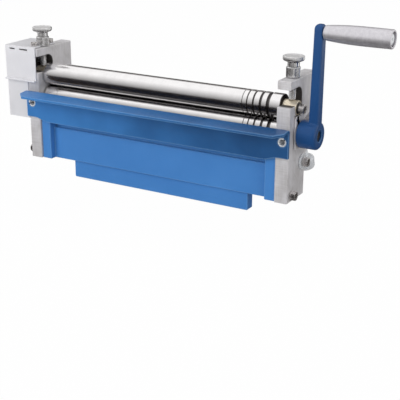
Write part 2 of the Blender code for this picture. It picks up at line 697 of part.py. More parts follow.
END_WASHER_RADIUS = 0.0075
END_WASHER_THICKNESS = 0.001
KEY_WIDTH = 0.003
KEY_SINK = 0.0018
KEY_RISE = 0.0014
KEY_END_STEP = 0.001


def wire_grooves():
    """Centre and width of each wire groove, the widest nearest the roll's end and the rest further in."""
    centre = ROLL_END - WIRE_GROOVE_INSET
    grooves = [(centre, WIRE_GROOVE_WIDTH)]
    for width_share, pitch_share in zip(WIRE_GROOVE_WIDTH_SHARES[1:], WIRE_GROOVE_PITCH_SHARES):
        centre -= WIRE_GROOVE_PITCH * pitch_share
        grooves.append((centre, WIRE_GROOVE_WIDTH * width_share))
    return grooves[::-1]


def roll_profile(left_end, right_end, grooved):
    """Half section of a roll: left journal, body with its wire grooves, right journal."""
    profile = [(-left_end, JOURNAL_RADIUS - ROLL_END_CHAMFER), (-left_end + ROLL_END_CHAMFER, JOURNAL_RADIUS),
               (-ROLL_END, JOURNAL_RADIUS), (-ROLL_END, ROLL_RADIUS - ROLL_END_CHAMFER),
               (-ROLL_END + ROLL_END_CHAMFER, ROLL_RADIUS)]
    if grooved:
        for centre, width in wire_grooves():
            half = width / 2
            profile += [(centre - half, ROLL_RADIUS), (centre - half / 2, ROLL_RADIUS - half),
                        (centre + half / 2, ROLL_RADIUS - half), (centre + half, ROLL_RADIUS)]
    profile += [(ROLL_END - ROLL_END_CHAMFER, ROLL_RADIUS), (ROLL_END, ROLL_RADIUS - ROLL_END_CHAMFER),
                (ROLL_END, JOURNAL_RADIUS), (right_end - ROLL_END_CHAMFER, JOURNAL_RADIUS),
                (right_end, JOURNAL_RADIUS - ROLL_END_CHAMFER)]
    return profile


def tapped_hole(end, side):
    """A blind hole in a journal's end for its end screw."""
    hole = rod("X", end - TAPPED_DEPTH, end + CUT_OVERRUN, END_SCREW_RADIUS + SEAT_GAP, SMALL_STEPS)
    return mirrored(hole, side)


def gear_key(widen):
    """A parallel key on the left journal, lying half in the journal and half in the gear."""
    start = GEAR_END - GEAR_WIDTH + KEY_END_STEP - widen
    end = GEAR_END - KEY_END_STEP + widen
    half = KEY_WIDTH / 2 + widen
    low = JOURNAL_RADIUS - KEY_SINK - widen
    high = JOURNAL_RADIUS + KEY_RISE + widen
    return block((-end, -half, low), (-start, half, high))


def add_end_screw(name, place, side, washer_name, steel, axis):
    """A screw into a journal's end at a distance along the roll, with a washer if it has a name."""
    seat = place + SEAT_GAP
    if washer_name:
        washer = ring("X", seat, seat + END_WASHER_THICKNESS, END_SCREW_RADIUS + SEAT_GAP,
                      END_WASHER_RADIUS, ROUND_STEPS)
        add_piece(washer_name, mirrored(washer, side), steel, axis)
        seat += END_WASHER_THICKNESS + SEAT_GAP
    length = seat - place + TAPPED_DEPTH - CUT_OVERRUN
    screw = socket_screw(END_SCREW_RADIUS, length, END_SCREW_HEAD_RADIUS, END_SCREW_HEAD_LENGTH)
    add_piece(name, mirrored(shifted(screw, (seat, 0, 0)), side), steel, axis)


# Gears: equal spur gears that run a little apart, so the nip can open without losing mesh

GEAR_TEETH = 17
GEAR_STAND_OFF = 0.0005
GEAR_MODULE = (2 * ROLL_RADIUS - GEAR_STAND_OFF) / GEAR_TEETH
GEAR_PITCH_RADIUS = GEAR_MODULE * GEAR_TEETH / 2
GEAR_TIP_RADIUS = GEAR_PITCH_RADIUS + GEAR_MODULE
GEAR_PRESSURE_ANGLE = math.radians(20)
GEAR_ROOT_SHARE = 1.25
GEAR_FLANK_STEPS = 3
GEAR_THINNING = math.radians(0.6)


def involute(angle):
    """The involute function of a pressure angle."""
    return math.tan(angle) - angle


def gear_outline():
    """Outline of a spur gear with involute flanks, one tooth pointing along +v."""
    base_radius = GEAR_PITCH_RADIUS * math.cos(GEAR_PRESSURE_ANGLE)
    root_radius = GEAR_PITCH_RADIUS - GEAR_MODULE * GEAR_ROOT_SHARE
    half_at_pitch = math.pi / (2 * GEAR_TEETH) - GEAR_THINNING
    flank = [(root_radius, half_at_pitch + involute(GEAR_PRESSURE_ANGLE))]
    for step in range(GEAR_FLANK_STEPS + 1):
        radius = base_radius + (GEAR_TIP_RADIUS - base_radius) * step / GEAR_FLANK_STEPS
        pressure = math.acos(base_radius / radius)
        flank.append((radius, half_at_pitch + involute(GEAR_PRESSURE_ANGLE) - involute(pressure)))
    outline = []
    for tooth in range(GEAR_TEETH):
        middle = math.pi / 2 + 2 * math.pi * tooth / GEAR_TEETH
        rising = [(radius, middle - half) for radius, half in flank]
        falling = [(radius, middle + half) for radius, half in reversed(flank)]
        for radius, angle in rising + falling:
            outline.append((radius * math.cos(angle), radius * math.sin(angle)))
    return outline


def make_gear(name, axis, steel):
    """A keyed spur gear on a roll's left journal."""
    body = prism(gear_outline(), "X", -GEAR_END, -GEAR_END + GEAR_WIDTH)
    gear = add_piece(name, body, steel, axis)
    bore = rod("X", -GEAR_END - CUT_OVERRUN, -GEAR_END + GEAR_WIDTH + CUT_OVERRUN,
               JOURNAL_RADIUS + RUNNING_GAP, ROUND_STEPS)
    return cut(gear, [bore, gear_keyway()])


def gear_keyway():
    """The key's seat, cut through the gear from face to face."""
    half = KEY_WIDTH / 2 + SEAT_GAP
    return block((-GEAR_END - CUT_OVERRUN, -half, JOURNAL_RADIUS - KEY_SINK),
                 (-GEAR_END + GEAR_WIDTH + CUT_OVERRUN, half, JOURNAL_RADIUS + KEY_RISE + SEAT_GAP))


# Gear cover: folded sheet box on the left frame, open towards the frame, with a wider front flap on top

COVER_SHEET = 0.0015
COVER_END_ROOM = 0.0058
COVER_END = (GEAR_END + 2 * SEAT_GAP + END_WASHER_THICKNESS + END_SCREW_HEAD_LENGTH
             + COVER_END_ROOM + COVER_SHEET)
COVER_BACK_ROOM = 0.00925
COVER_BACK = ROLL_AXIS_DEPTH + GEAR_TIP_RADIUS + COVER_BACK_ROOM + COVER_SHEET
COVER_WASHER_ROOM = 0.0004
COVER_BOTTOM = FRAME_SCREW_PLACES["upper"][1] + WASHER_RADIUS + COVER_WASHER_ROOM
COVER_FLAP_DROP = 0.00665
COVER_FLAP_BOTTOM = TOP_ROLL_HEIGHT - COVER_FLAP_DROP
COVER_FLAP_INSET = 0.002
COVER_FLAP_LIP = 0.0035
COVER_OVERLAP = 0.0003
COVER_SLOT_HEIGHT = 0.0016
COVER_SLOT_DROP = 0.003
COVER_SLOT_SHARES = ((0.143, 0.318), (0.477, 0.750))
COVER_FRONT_EAR_START = 0.0012
COVER_FRONT_EAR_NUT_GAP = 0.0005
COVER_BACK_EAR_NUT_GAP = 0.0015
COVER_BACK_EAR_WIDTH = 0.010
COVER_EAR_INSET = 0.0035
COVER_EAR_CORNER = 0.002
COVER_FRONT_SCREW_INSET = 0.0095
COVER_BACK_SCREW_INSET = 0.008
COVER_SCREW_RADIUS = 0.002
COVER_SCREW_REACH = 0.006
COVER_SCREW_HEAD_RADIUS = 0.0038
COVER_SCREW_HEAD_LENGTH = 0.004


def cover_top():
    """Height of the cover's outer top face: one sheet above the frame."""
    return FRAME_HEIGHT + SEAT_GAP + COVER_SHEET


def cover_ears():
    """Start and end depth of the two ears, one on each side of the lock nut."""
    back_start = ROLL_AXIS_DEPTH + LOCK_NUT_RADIUS + COVER_BACK_EAR_NUT_GAP
    return {"front": (COVER_FRONT_EAR_START, ROLL_AXIS_DEPTH - LOCK_NUT_RADIUS - COVER_FRONT_EAR_NUT_GAP),
            "back": (back_start, back_start + COVER_BACK_EAR_WIDTH)}


def cover_screw_places():
    """Axes of the two cover screws, each halfway along its ear's width."""
    middles = {name: (start + end) / 2 for name, (start, end) in cover_ears().items()}
    return {"front": (FRAME_INNER + COVER_FRONT_SCREW_INSET, middles["front"]),
            "back": (FRAME_INNER + COVER_BACK_SCREW_INSET, middles["back"])}


def make_gear_cover(machine, sheet):
    """The cover: box, top ears over the frame, and the flap in front of the frame's slot."""
    outer = -COVER_END
    inner_end = -FRAME_OUTER - SEAT_GAP
    top = cover_top()
    front = -SEAT_GAP
    shell = add_piece("gear_cover", block((outer, front, COVER_BOTTOM), (inner_end, COVER_BACK, top)),
                      sheet, machine)
    inside = block((outer + COVER_SHEET, front + COVER_SHEET, COVER_BOTTOM + COVER_SHEET),
                   (inner_end + CUT_OVERRUN, COVER_BACK - COVER_SHEET, top - COVER_SHEET))
    cut(shell, [inside])
    flap_end = -FRAME_INNER - COVER_FLAP_INSET
    flap_back = front + COVER_OVERLAP
    flap_front = flap_back - COVER_OVERLAP - COVER_SHEET
    flap = prism([(outer, COVER_FLAP_BOTTOM), (inner_end, COVER_FLAP_BOTTOM), (inner_end, top), (outer, top)],
                 "Y", flap_front, flap_back)
    wing = block((inner_end - COVER_SHEET, flap_front, COVER_FLAP_BOTTOM), (flap_end, front, top))
    lip = block((outer, flap_front - COVER_FLAP_LIP, COVER_FLAP_BOTTOM - COVER_OVERLAP),
                (flap_end, front, COVER_FLAP_BOTTOM + COVER_SHEET))
    fuse(shell, [flap, wing, lip])
    ears = []
    for start, end in cover_ears().values():
        ear_end = -FRAME_INNER - COVER_EAR_INSET
        ear_outline = filleted([
            (inner_end - COVER_SHEET, start, 0),
            (ear_end, start, COVER_EAR_CORNER),
            (ear_end, end, COVER_EAR_CORNER),
            (inner_end - COVER_SHEET, end, 0),
        ])
        ears.append(prism(ear_outline, "Z", top - COVER_SHEET, top))
    fuse(shell, ears)
    slots = []
    for start_share, end_share in COVER_SLOT_SHARES:
        slot_top = top - COVER_SLOT_DROP
        start = outer + (flap_end - outer) * start_share
        end = outer + (flap_end - outer) * end_share
        slots.append(block((start, flap_front - CUT_OVERRUN, slot_top - COVER_SLOT_HEIGHT),
                           (end, front + COVER_SHEET + CUT_OVERRUN, slot_top)))
    for x, depth in cover_screw_places().values():
        hole = rod("Z", top - COVER_SHEET - CUT_OVERRUN, top + CUT_OVERRUN,
                   COVER_SCREW_RADIUS + SEAT_GAP, SMALL_STEPS)
        slots.append(shifted(hole, (-x, depth, 0)))
    return cut(shell, slots)


def stood_up(shape):
    """Turn a shape whose axis is X so that the axis points up."""
    bmesh.ops.rotate(shape, matrix=Matrix.Rotation(-math.pi / 2, 3, "Y"), verts=shape.verts)
    return shape


def make_cover_screws(machine, steel):
    """Two small socket cap screws that hold the cover's ears to the left frame."""
    seat = cover_top() + SEAT_GAP
    length = seat - FRAME_HEIGHT + COVER_SCREW_REACH
    for place_name, (x, depth) in cover_screw_places().items():
        screw = socket_screw(COVER_SCREW_RADIUS, length, COVER_SCREW_HEAD_RADIUS, COVER_SCREW_HEAD_LENGTH)
        add_piece("cover_screw_" + place_name, stood_up(screw), steel, machine, (-x, depth, seat))


# Crank: a hub on the lower roll's right journal, an arm and a grip that spins on its spindle

HUB_PLAY = 0.0008
HUB_START = FRAME_OUTER + KEEPER_THICKNESS + SEAT_GAP + HUB_PLAY
HUB_LENGTH = 0.0210
HUB_RADIUS = 0.0148
HUB_CHAMFER = 0.0012
HUB_END_FILLET = 0.0028
ARM_THICKNESS = 0.0092
ARM_ROOT_THICKNESS = 0.0112
ARM_END = HUB_START + HUB_LENGTH
ARM_START = ARM_END - ARM_THICKNESS
ARM_WIDTH = 0.0125
ARM_EDGE = 0.0022
ARM_TOP_ABOVE_GRIP = 0.0082
ARM_TOP_FILLET = 0.0045
JOURNAL_RECESS = 0.002
SET_SCREW_RADIUS = 0.0025
SET_SCREW_SINK = 0.0015
SET_SCREW_INSET = 0.0056
SET_SCREW_X = HUB_START + SET_SCREW_INSET
GRIP_PLAY = 0.0008
GRIP_LENGTH = 0.0700
GRIP_RADIUS = 0.0096
GRIP_PROFILE_SHARES = ((0, 0.69), (0.015, 0.74), (0.16, 0.83), (0.36, 0.94), (0.60, 0.99),
                       (0.82, 1), (0.975, 1), (1, 0.93))
GRIP_WALL = 0.0016
GRIP_RECESS = 0.004
SPINDLE_RADIUS = 0.0035
SPINDLE_HEAD_RADIUS = 0.0058
SPINDLE_HEAD_LENGTH = 0.0028


def arm_section(height_share, width_share):
    """Section at a share of the arm's height, a share of its full size, with rounded long edges."""
    thickness = ARM_ROOT_THICKNESS + (ARM_THICKNESS - ARM_ROOT_THICKNESS) * height_share
    middle = ARM_END - thickness / 2
    half_x = thickness / 2 * width_share
    half_y = ARM_WIDTH / 2 * width_share
    edge = ARM_EDGE * width_share
    return filleted([
        (middle - half_x, -half_y, edge),
        (middle + half_x, -half_y, edge),
        (middle + half_x, half_y, edge),
        (middle - half_x, half_y, edge),
    ], 2)


def arm_shape():
    """The arm from the hub's axis to its rounded top, thinning towards it on the side of the frame."""
    top = CRANK_RADIUS + ARM_TOP_ABOVE_GRIP
    shape = bmesh.new()
    levels = [(0, 1), (top - ARM_TOP_FILLET, 1)]
    for step in range(1, FILLET_STEPS + 1):
        angle = math.pi / 2 * step / FILLET_STEPS
        narrowing = ARM_TOP_FILLET * (1 - math.cos(angle)) / (ARM_WIDTH / 2)
        levels.append((top - ARM_TOP_FILLET * (1 - math.sin(angle)), 1 - narrowing))
    rings = []
    for height, share in levels:
        rings.append([shape.verts.new(Vector((x, y, height))) for x, y in arm_section(height / top, share)])
    for lower, upper in zip(rings, rings[1:]):
        bridge(shape, lower, upper)
    shape.faces.new(rings[0])
    shape.faces.new(rings[-1])
    return shape


def make_crank(axis, paint, screw_steel, bright_steel):
    """Hub and arm in one casting, the set screw that locks it, and the grip's spindle."""
    rounding = arc((ARM_END - HUB_END_FILLET, HUB_RADIUS - HUB_END_FILLET), HUB_END_FILLET,
                   math.pi / 2, 0, FILLET_STEPS)
    profile = [(HUB_START, 0), (HUB_START, HUB_RADIUS - HUB_CHAMFER), (HUB_START + HUB_CHAMFER, HUB_RADIUS),
               *rounding, (ARM_END, 0)]
    crank = add_piece("crank_arm", turned(profile, "X", ROLL_STEPS), paint, axis)
    fuse(crank, [arm_shape()])
    bore = rod("X", HUB_START - CUT_OVERRUN, ARM_END + CUT_OVERRUN, JOURNAL_RADIUS + RUNNING_GAP, ROUND_STEPS)
    set_hole = rod("Y", 0, HUB_RADIUS + CUT_OVERRUN, SET_SCREW_RADIUS + SEAT_GAP, SMALL_STEPS)
    spindle_hole = rod("X", ARM_START - CUT_OVERRUN, ARM_END + CUT_OVERRUN,
                       SPINDLE_RADIUS + SEAT_GAP, SMALL_STEPS)
    cut(crank, [bore, shifted(set_hole, (SET_SCREW_X, 0, 0)), shifted(spindle_hole, (0, 0, CRANK_RADIUS))])
    start = HUB_RADIUS - SET_SCREW_SINK
    tip = JOURNAL_RADIUS + RUNNING_GAP + SEAT_GAP
    set_screw = rod("Y", tip, start, SET_SCREW_RADIUS, SMALL_STEPS)
    add_piece("crank_set_screw", shifted(set_screw, (SET_SCREW_X, 0, 0)), screw_steel, axis)
    grip_end = ARM_END + GRIP_PLAY + GRIP_LENGTH
    head_start = grip_end - GRIP_RECESS + RUNNING_GAP
    profile = [(ARM_START, 0), (ARM_START, SPINDLE_RADIUS), (head_start, SPINDLE_RADIUS),
               (head_start, SPINDLE_HEAD_RADIUS), (head_start + SPINDLE_HEAD_LENGTH, SPINDLE_HEAD_RADIUS),
               (head_start + SPINDLE_HEAD_LENGTH, 0)]
    add_piece("grip_spindle", turned(profile, "X", SMALL_STEPS), bright_steel, axis, (0, 0, CRANK_RADIUS))
    return crank


def make_grip(axis, aluminium):
    """The turned barrel: slim at the arm, full at the end, with a recess for the spindle's head."""
    start = ARM_END + GRIP_PLAY
    profile = [(start + along * GRIP_LENGTH, across * GRIP_RADIUS) for along, across in GRIP_PROFILE_SHARES]
    end = start + GRIP_LENGTH
    rim = profile[-1][1] - GRIP_WALL
    bore = SPINDLE_RADIUS + RUNNING_GAP
    profile += [(end, rim), (end - GRIP_RECESS, rim), (end - GRIP_RECESS, bore), (start, bore)]
    return add_piece("grip", turned(profile, "X", ROUND_STEPS, hollow=True), aluminium, axis)


# Top screws: turned in one piece, each locked by a round nut on the frame

CAP_RADIUS = 0.0112
CAP_THICKNESS = 0.0064
CAP_CONE_HEIGHT = 0.0024
CAP_EDGE = 0.0007
CAP_DISH_RADIUS = 0.0092
CAP_DISH_DEPTH = 0.0006
NECK_RADIUS = 0.0062
NECK_LENGTH = 0.0044
LOCK_NUT_RADIUS = 0.0075
LOCK_NUT_THICKNESS = 0.0110
LOCK_NUT_CHAMFER = 0.0008


def make_top_screw(side_name, axis, steel):
    """Cap, neck and shank; the axis empty stands on the top bush's crown."""
    tip = BUSH_RADIUS + SEAT_GAP
    neck = FRAME_HEIGHT + LOCK_NUT_THICKNESS + 2 * SEAT_GAP - TOP_ROLL_HEIGHT
    cap = neck + NECK_LENGTH
    rim = cap + CAP_CONE_HEIGHT
    top = cap + CAP_THICKNESS
    profile = [(tip, 0), (tip, TOP_SCREW_RADIUS), (neck, TOP_SCREW_RADIUS), (neck, NECK_RADIUS),
               (cap, NECK_RADIUS), (rim - CAP_EDGE, CAP_RADIUS - CAP_EDGE), (rim, CAP_RADIUS),
               (top - CAP_EDGE, CAP_RADIUS), (top, CAP_RADIUS - CAP_EDGE), (top, CAP_DISH_RADIUS),
               (top - CAP_DISH_DEPTH, CAP_DISH_RADIUS - CAP_DISH_DEPTH), (top - CAP_DISH_DEPTH, 0)]
    return add_piece("top_screw_" + side_name, turned(profile, "Z", ROUND_STEPS), steel, axis)


def make_lock_nut(side_name, axis, steel):
    """A round nut on the frame's top, round the screw's shank."""
    start = FRAME_HEIGHT + SEAT_GAP
    end = start + LOCK_NUT_THICKNESS
    inner = TOP_SCREW_RADIUS + SEAT_GAP
    profile = [(start, inner), (end, inner), (end, LOCK_NUT_RADIUS - LOCK_NUT_CHAMFER),
               (end - LOCK_NUT_CHAMFER, LOCK_NUT_RADIUS), (start + LOCK_NUT_CHAMFER, LOCK_NUT_RADIUS),
               (start, LOCK_NUT_RADIUS - LOCK_NUT_CHAMFER)]
    return add_piece("lock_nut_" + side_name, turned(profile, "Z", ROUND_STEPS, hollow=True), steel, axis)


# Rear roll: bearing blocks that slide in the slanted windows, pushed by screws with round knobs

REAR_KNOB_RADIUS = 0.0105
REAR_KNOB_LENGTH = 0.0120
REAR_KNOB_CLEARANCE = 0.0022
REAR_KNOB_EDGE = 0.0015
REAR_SCREW_SEAT_DEPTH = 0.0022
REAR_BLOCK_CHAMFER = 0.0005
REAR_FLANGE_LAP = 0.0015
REAR_FLANGE_THICKNESS = 0.0014
REAR_ROLL_END_PLAY = 0.0025
REAR_JOURNAL_RECESS = 0.001


def make_rear_block(side_name, axis, steel):
    """A square bearing block with a flange inside the frame, a journal bore and a seat for the screw."""
    side = SIDES[side_name]
    half = REAR_BLOCK_HALF
    square = [(-half, -half), (half, -half), (half, half), (-half, half)]
    wide = REAR_BLOCK_HALF + REAR_FLANGE_LAP
    flange_square = [(-wide, -wide), (wide, -wide), (wide, wide), (-wide, wide)]
    flange_end = FRAME_INNER - SEAT_GAP
    flange_start = flange_end - REAR_FLANGE_THICKNESS
    body = prism(square, "X", flange_start + REAR_FLANGE_THICKNESS / 2, FRAME_OUTER, REAR_BLOCK_CHAMFER)
    rear_block = add_piece("rear_block_" + side_name, mirrored(body, side), steel, axis)
    fuse(rear_block, [mirrored(prism(flange_square, "X", flange_start, flange_end), side)])
    bore = rod("X", flange_start - CUT_OVERRUN, FRAME_OUTER + CUT_OVERRUN,
               JOURNAL_RADIUS + RUNNING_GAP, ROUND_STEPS)
    seat = rod("Z", -half - CUT_OVERRUN, -half + REAR_SCREW_SEAT_DEPTH + SEAT_GAP,
               REAR_SCREW_RADIUS + SEAT_GAP, SMALL_STEPS)
    return cut(rear_block, [mirrored(bore, side), shifted(seat, (side * FRAME_MIDDLE, 0, 0))])


def make_rear_knob(side_name, axis, steel):
    """A screw with a round knob below; its tip turns in the seat of the bearing block."""
    tip = -REAR_BLOCK_HALF + REAR_SCREW_SEAT_DEPTH
    top = -REAR_BLOCK_HALF - SEAT_GAP - OVERHANG_WALL - REAR_TRAVEL - REAR_KNOB_CLEARANCE
    bottom = top - REAR_KNOB_LENGTH
    profile = [(tip, 0), (tip, REAR_SCREW_RADIUS), (top, REAR_SCREW_RADIUS),
               (top, REAR_KNOB_RADIUS - REAR_KNOB_EDGE), (top - REAR_KNOB_EDGE, REAR_KNOB_RADIUS),
               (bottom + REAR_KNOB_EDGE, REAR_KNOB_RADIUS), (bottom, REAR_KNOB_RADIUS - REAR_KNOB_EDGE),
               (bottom, 0)]
    return add_piece("rear_knob_" + side_name, turned(profile, "Z", ROUND_STEPS), steel, axis)


def rear_roll_profile():
    """Half section of the rear roll: a plain body between two short journals."""
    body_end = FRAME_INNER - REAR_ROLL_END_PLAY
    end = FRAME_OUTER - REAR_JOURNAL_RECESS
    half = [(body_end - ROLL_END_CHAMFER, ROLL_RADIUS), (body_end, ROLL_RADIUS - ROLL_END_CHAMFER),
            (body_end, JOURNAL_RADIUS), (end - ROLL_END_CHAMFER, JOURNAL_RADIUS),
            (end, JOURNAL_RADIUS - ROLL_END_CHAMFER)]
    return [(-distance, radius) for distance, radius in reversed(half)] + half


# Assembly

def build_fixed_pieces(machine, looks):
    """Everything that stays still: bed, frames, feed plate, gear cover, bushes and their fasteners."""
    make_bed(machine, looks["blue_paint"])
    for side_name in SIDES:
        make_frame(side_name, machine, looks["machined_steel"])
    make_feed_plate(machine, looks["blue_paint"])
    make_feed_plate_pins(machine, looks["bright_zinc"])
    make_frame_screws(machine, looks["dark_screw_steel"])
    make_gear_cover(machine, looks["sheet_steel"])
    make_cover_screws(machine, looks["dark_screw_steel"])
    make_lower_bushes(machine, looks["bush_brass"])
    make_bearing_keepers(machine, looks["machined_steel"], looks["dark_screw_steel"])


def build_lower_roll(machine, looks):
    """The driven roll with its gear, key, end screw and crank."""
    axis = add_axis("lower_roll_axis", machine, (0, ROLL_AXIS_DEPTH, LOWER_ROLL_HEIGHT))
    profile = roll_profile(GEAR_END, ARM_END - JOURNAL_RECESS, True)
    roll = add_piece("lower_roll", turned(profile, "X", ROLL_STEPS), looks["ground_steel"], axis)
    cut(roll, [gear_key(SEAT_GAP), tapped_hole(GEAR_END, -1)])
    make_gear("lower_gear", axis, looks["gear_steel"])
    add_piece("lower_gear_key", gear_key(0), looks["dark_screw_steel"], axis)
    add_end_screw("lower_gear_screw", GEAR_END, -1, "lower_gear_washer", looks["dark_screw_steel"], axis)
    make_crank(axis, looks["blue_paint"], looks["dark_screw_steel"], looks["bright_zinc"])
    grip_axis = add_axis("grip_axis", axis, (0, 0, CRANK_RADIUS))
    make_grip(grip_axis, looks["grip_aluminium"])


def build_top_roll(machine, looks):
    """The upper roll in its brass bushes, with its gear, end screws, top screws and lock nuts."""
    axis = add_axis("top_roll_axis", machine, (0, ROLL_AXIS_DEPTH, TOP_ROLL_HEIGHT))
    roll = add_piece("top_roll", turned(roll_profile(GEAR_END, TOP_JOURNAL_END, True), "X", ROLL_STEPS),
                     looks["ground_steel"], axis)
    cut(roll, [gear_key(SEAT_GAP), tapped_hole(GEAR_END, -1), tapped_hole(TOP_JOURNAL_END, 1)])
    make_gear("top_gear", axis, looks["gear_steel"])
    add_piece("top_gear_key", gear_key(0), looks["dark_screw_steel"], axis)
    add_end_screw("top_gear_screw", GEAR_END, -1, "top_gear_washer", looks["dark_screw_steel"], axis)
    add_end_screw("top_roll_end_screw", TOP_JOURNAL_END, 1, "", looks["dark_screw_steel"], axis)
    for side_name, side in SIDES.items():
        bush = ring("X", FRAME_INNER - BUSH_OVERHANG, FRAME_OUTER,
                    JOURNAL_RADIUS + RUNNING_GAP, BUSH_RADIUS, ROUND_STEPS)
        add_piece("top_bush_" + side_name, mirrored(bush, side), looks["bush_brass"], axis)
        screw_axis = add_axis("top_screw_axis_" + side_name, axis, (side * FRAME_MIDDLE, 0, 0))
        make_top_screw(side_name, screw_axis, looks["bright_zinc"])
        nut_axis = add_axis("lock_nut_axis_" + side_name, machine, (side * FRAME_MIDDLE, ROLL_AXIS_DEPTH, 0))
        make_lock_nut(side_name, nut_axis, looks["dark_screw_steel"])


def build_rear_roll(machine, looks):
    """The bending roll in its sliding blocks, leaning like the windows, with its two knobs."""
    place = (0, REAR_ROLL_DEPTH, REAR_ROLL_HEIGHT)
    axis = add_axis("rear_roll_axis", machine, place, (REAR_SLIDE_TILT, 0, 0))
    add_piece("rear_roll", turned(rear_roll_profile(), "X", ROLL_STEPS), looks["ground_steel"], axis)
    for side_name, side in SIDES.items():
        make_rear_block(side_name, axis, looks["machined_steel"])
        knob_axis = add_axis("rear_knob_axis_" + side_name, axis, (side * FRAME_MIDDLE, 0, 0))
        make_rear_knob(side_name, knob_axis, looks["bright_zinc"])


def build_machine():
    """The whole slip roll, hung from one empty at the machine datum."""
    clear_scene()
    looks = make_finishes()
    machine = add_axis("machine_datum", None, (0, -TONGUE_FRONT, TONGUE_HEIGHT / 2))
    build_fixed_pieces(machine, looks)
    build_lower_roll(machine, looks)
    build_top_roll(machine, looks)
    build_rear_roll(machine, looks)


build_machine()
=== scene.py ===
"""Manual slip roll for its picture: painted bed, machined frames, polished rolls and a crank."""
import math

import bmesh
import bpy
import numpy as np
from mathutils import Matrix, Vector


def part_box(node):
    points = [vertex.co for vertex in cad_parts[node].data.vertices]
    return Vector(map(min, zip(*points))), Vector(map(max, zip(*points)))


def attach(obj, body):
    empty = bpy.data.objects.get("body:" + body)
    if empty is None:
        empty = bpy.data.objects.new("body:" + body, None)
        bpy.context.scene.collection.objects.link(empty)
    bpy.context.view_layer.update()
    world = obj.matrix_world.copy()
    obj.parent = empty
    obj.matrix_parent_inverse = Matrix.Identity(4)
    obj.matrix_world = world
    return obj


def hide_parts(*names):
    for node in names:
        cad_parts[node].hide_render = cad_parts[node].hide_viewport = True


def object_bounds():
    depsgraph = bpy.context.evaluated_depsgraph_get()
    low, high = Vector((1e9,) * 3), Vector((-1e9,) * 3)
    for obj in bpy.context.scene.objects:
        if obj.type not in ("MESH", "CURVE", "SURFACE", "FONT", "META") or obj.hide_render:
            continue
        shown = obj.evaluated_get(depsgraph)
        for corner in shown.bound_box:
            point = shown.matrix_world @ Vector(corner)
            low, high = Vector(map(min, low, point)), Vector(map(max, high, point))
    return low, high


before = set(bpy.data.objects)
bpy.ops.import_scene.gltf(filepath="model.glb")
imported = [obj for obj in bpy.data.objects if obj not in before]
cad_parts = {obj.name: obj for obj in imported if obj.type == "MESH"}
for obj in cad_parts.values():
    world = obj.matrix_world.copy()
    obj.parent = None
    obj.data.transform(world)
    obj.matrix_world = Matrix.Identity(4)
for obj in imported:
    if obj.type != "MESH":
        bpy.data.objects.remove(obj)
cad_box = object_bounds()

# Camera: on the crank's side and above the rolls, looking down along the bed. It turns
# 29.5 degrees off square, dips 20 degrees, and a long lens keeps the frames nearly parallel.
TURN, DIP, LEAN = np.radians([29.517, 19.982, 0.317])
CAMERA_PLACE = (0.55822, -0.88711, 0.36148)
FOCAL_LENGTH = 87.77
NEAREST, FARTHEST = 0.05, 60
scene = bpy.context.scene
scene.view_settings.view_transform = "Standard"
ahead = np.array([-math.sin(TURN) * math.cos(DIP), math.cos(TURN) * math.cos(DIP), -math.sin(DIP)])
level = np.array([math.cos(TURN), math.sin(TURN), 0])
above = np.cross(level, ahead)
stand = np.eye(4)
stand[:3] = np.column_stack([math.cos(LEAN) * level + math.sin(LEAN) * above,
                             math.cos(LEAN) * above - math.sin(LEAN) * level,
                             -ahead, CAMERA_PLACE])
lens = bpy.data.cameras.new("camera")
lens.lens = FOCAL_LENGTH
lens.clip_start, lens.clip_end = NEAREST, FARTHEST
camera = bpy.data.objects.new("camera", lens)
camera.matrix_world = Matrix(stand.tolist())
scene.collection.objects.link(camera)
scene.camera = camera


# Stand and light: a pale floor just below the crank's lowest reach, a pale room, and soft lamps
# in front, beside and above. Three dark screens that only polished metal shows give the rolls
# their dark lower half and the line along the top.
def tone(red, green, blue):
    """A colour as a screen shows it, 0 to 255, in the linear values that a shader takes."""
    share = np.array([red, green, blue]) / 255
    linear = np.where(share <= 0.04045, share / 12.92, ((share + 0.055) / 1.055) ** 2.4)
    return (*linear.tolist(), 1)


class Shade:
    """One output of a shader node: arithmetic on it adds Math nodes."""

    def __init__(self, nodes, socket):
        self.nodes = nodes
        self.socket = socket

    def maths(self, operation, *values):
        return self.nodes.node("Math", {"operation": operation}, dict(enumerate(values)))

    def __add__(self, other):
        return self.maths("ADD", self, other)

    def __sub__(self, other):
        return self.maths("SUBTRACT", self, other)

    def __rsub__(self, other):
        return self.maths("SUBTRACT", other, self)

    def __mul__(self, other):
        return self.maths("MULTIPLY", self, other)

    __radd__ = __add__
    __rmul__ = __mul__


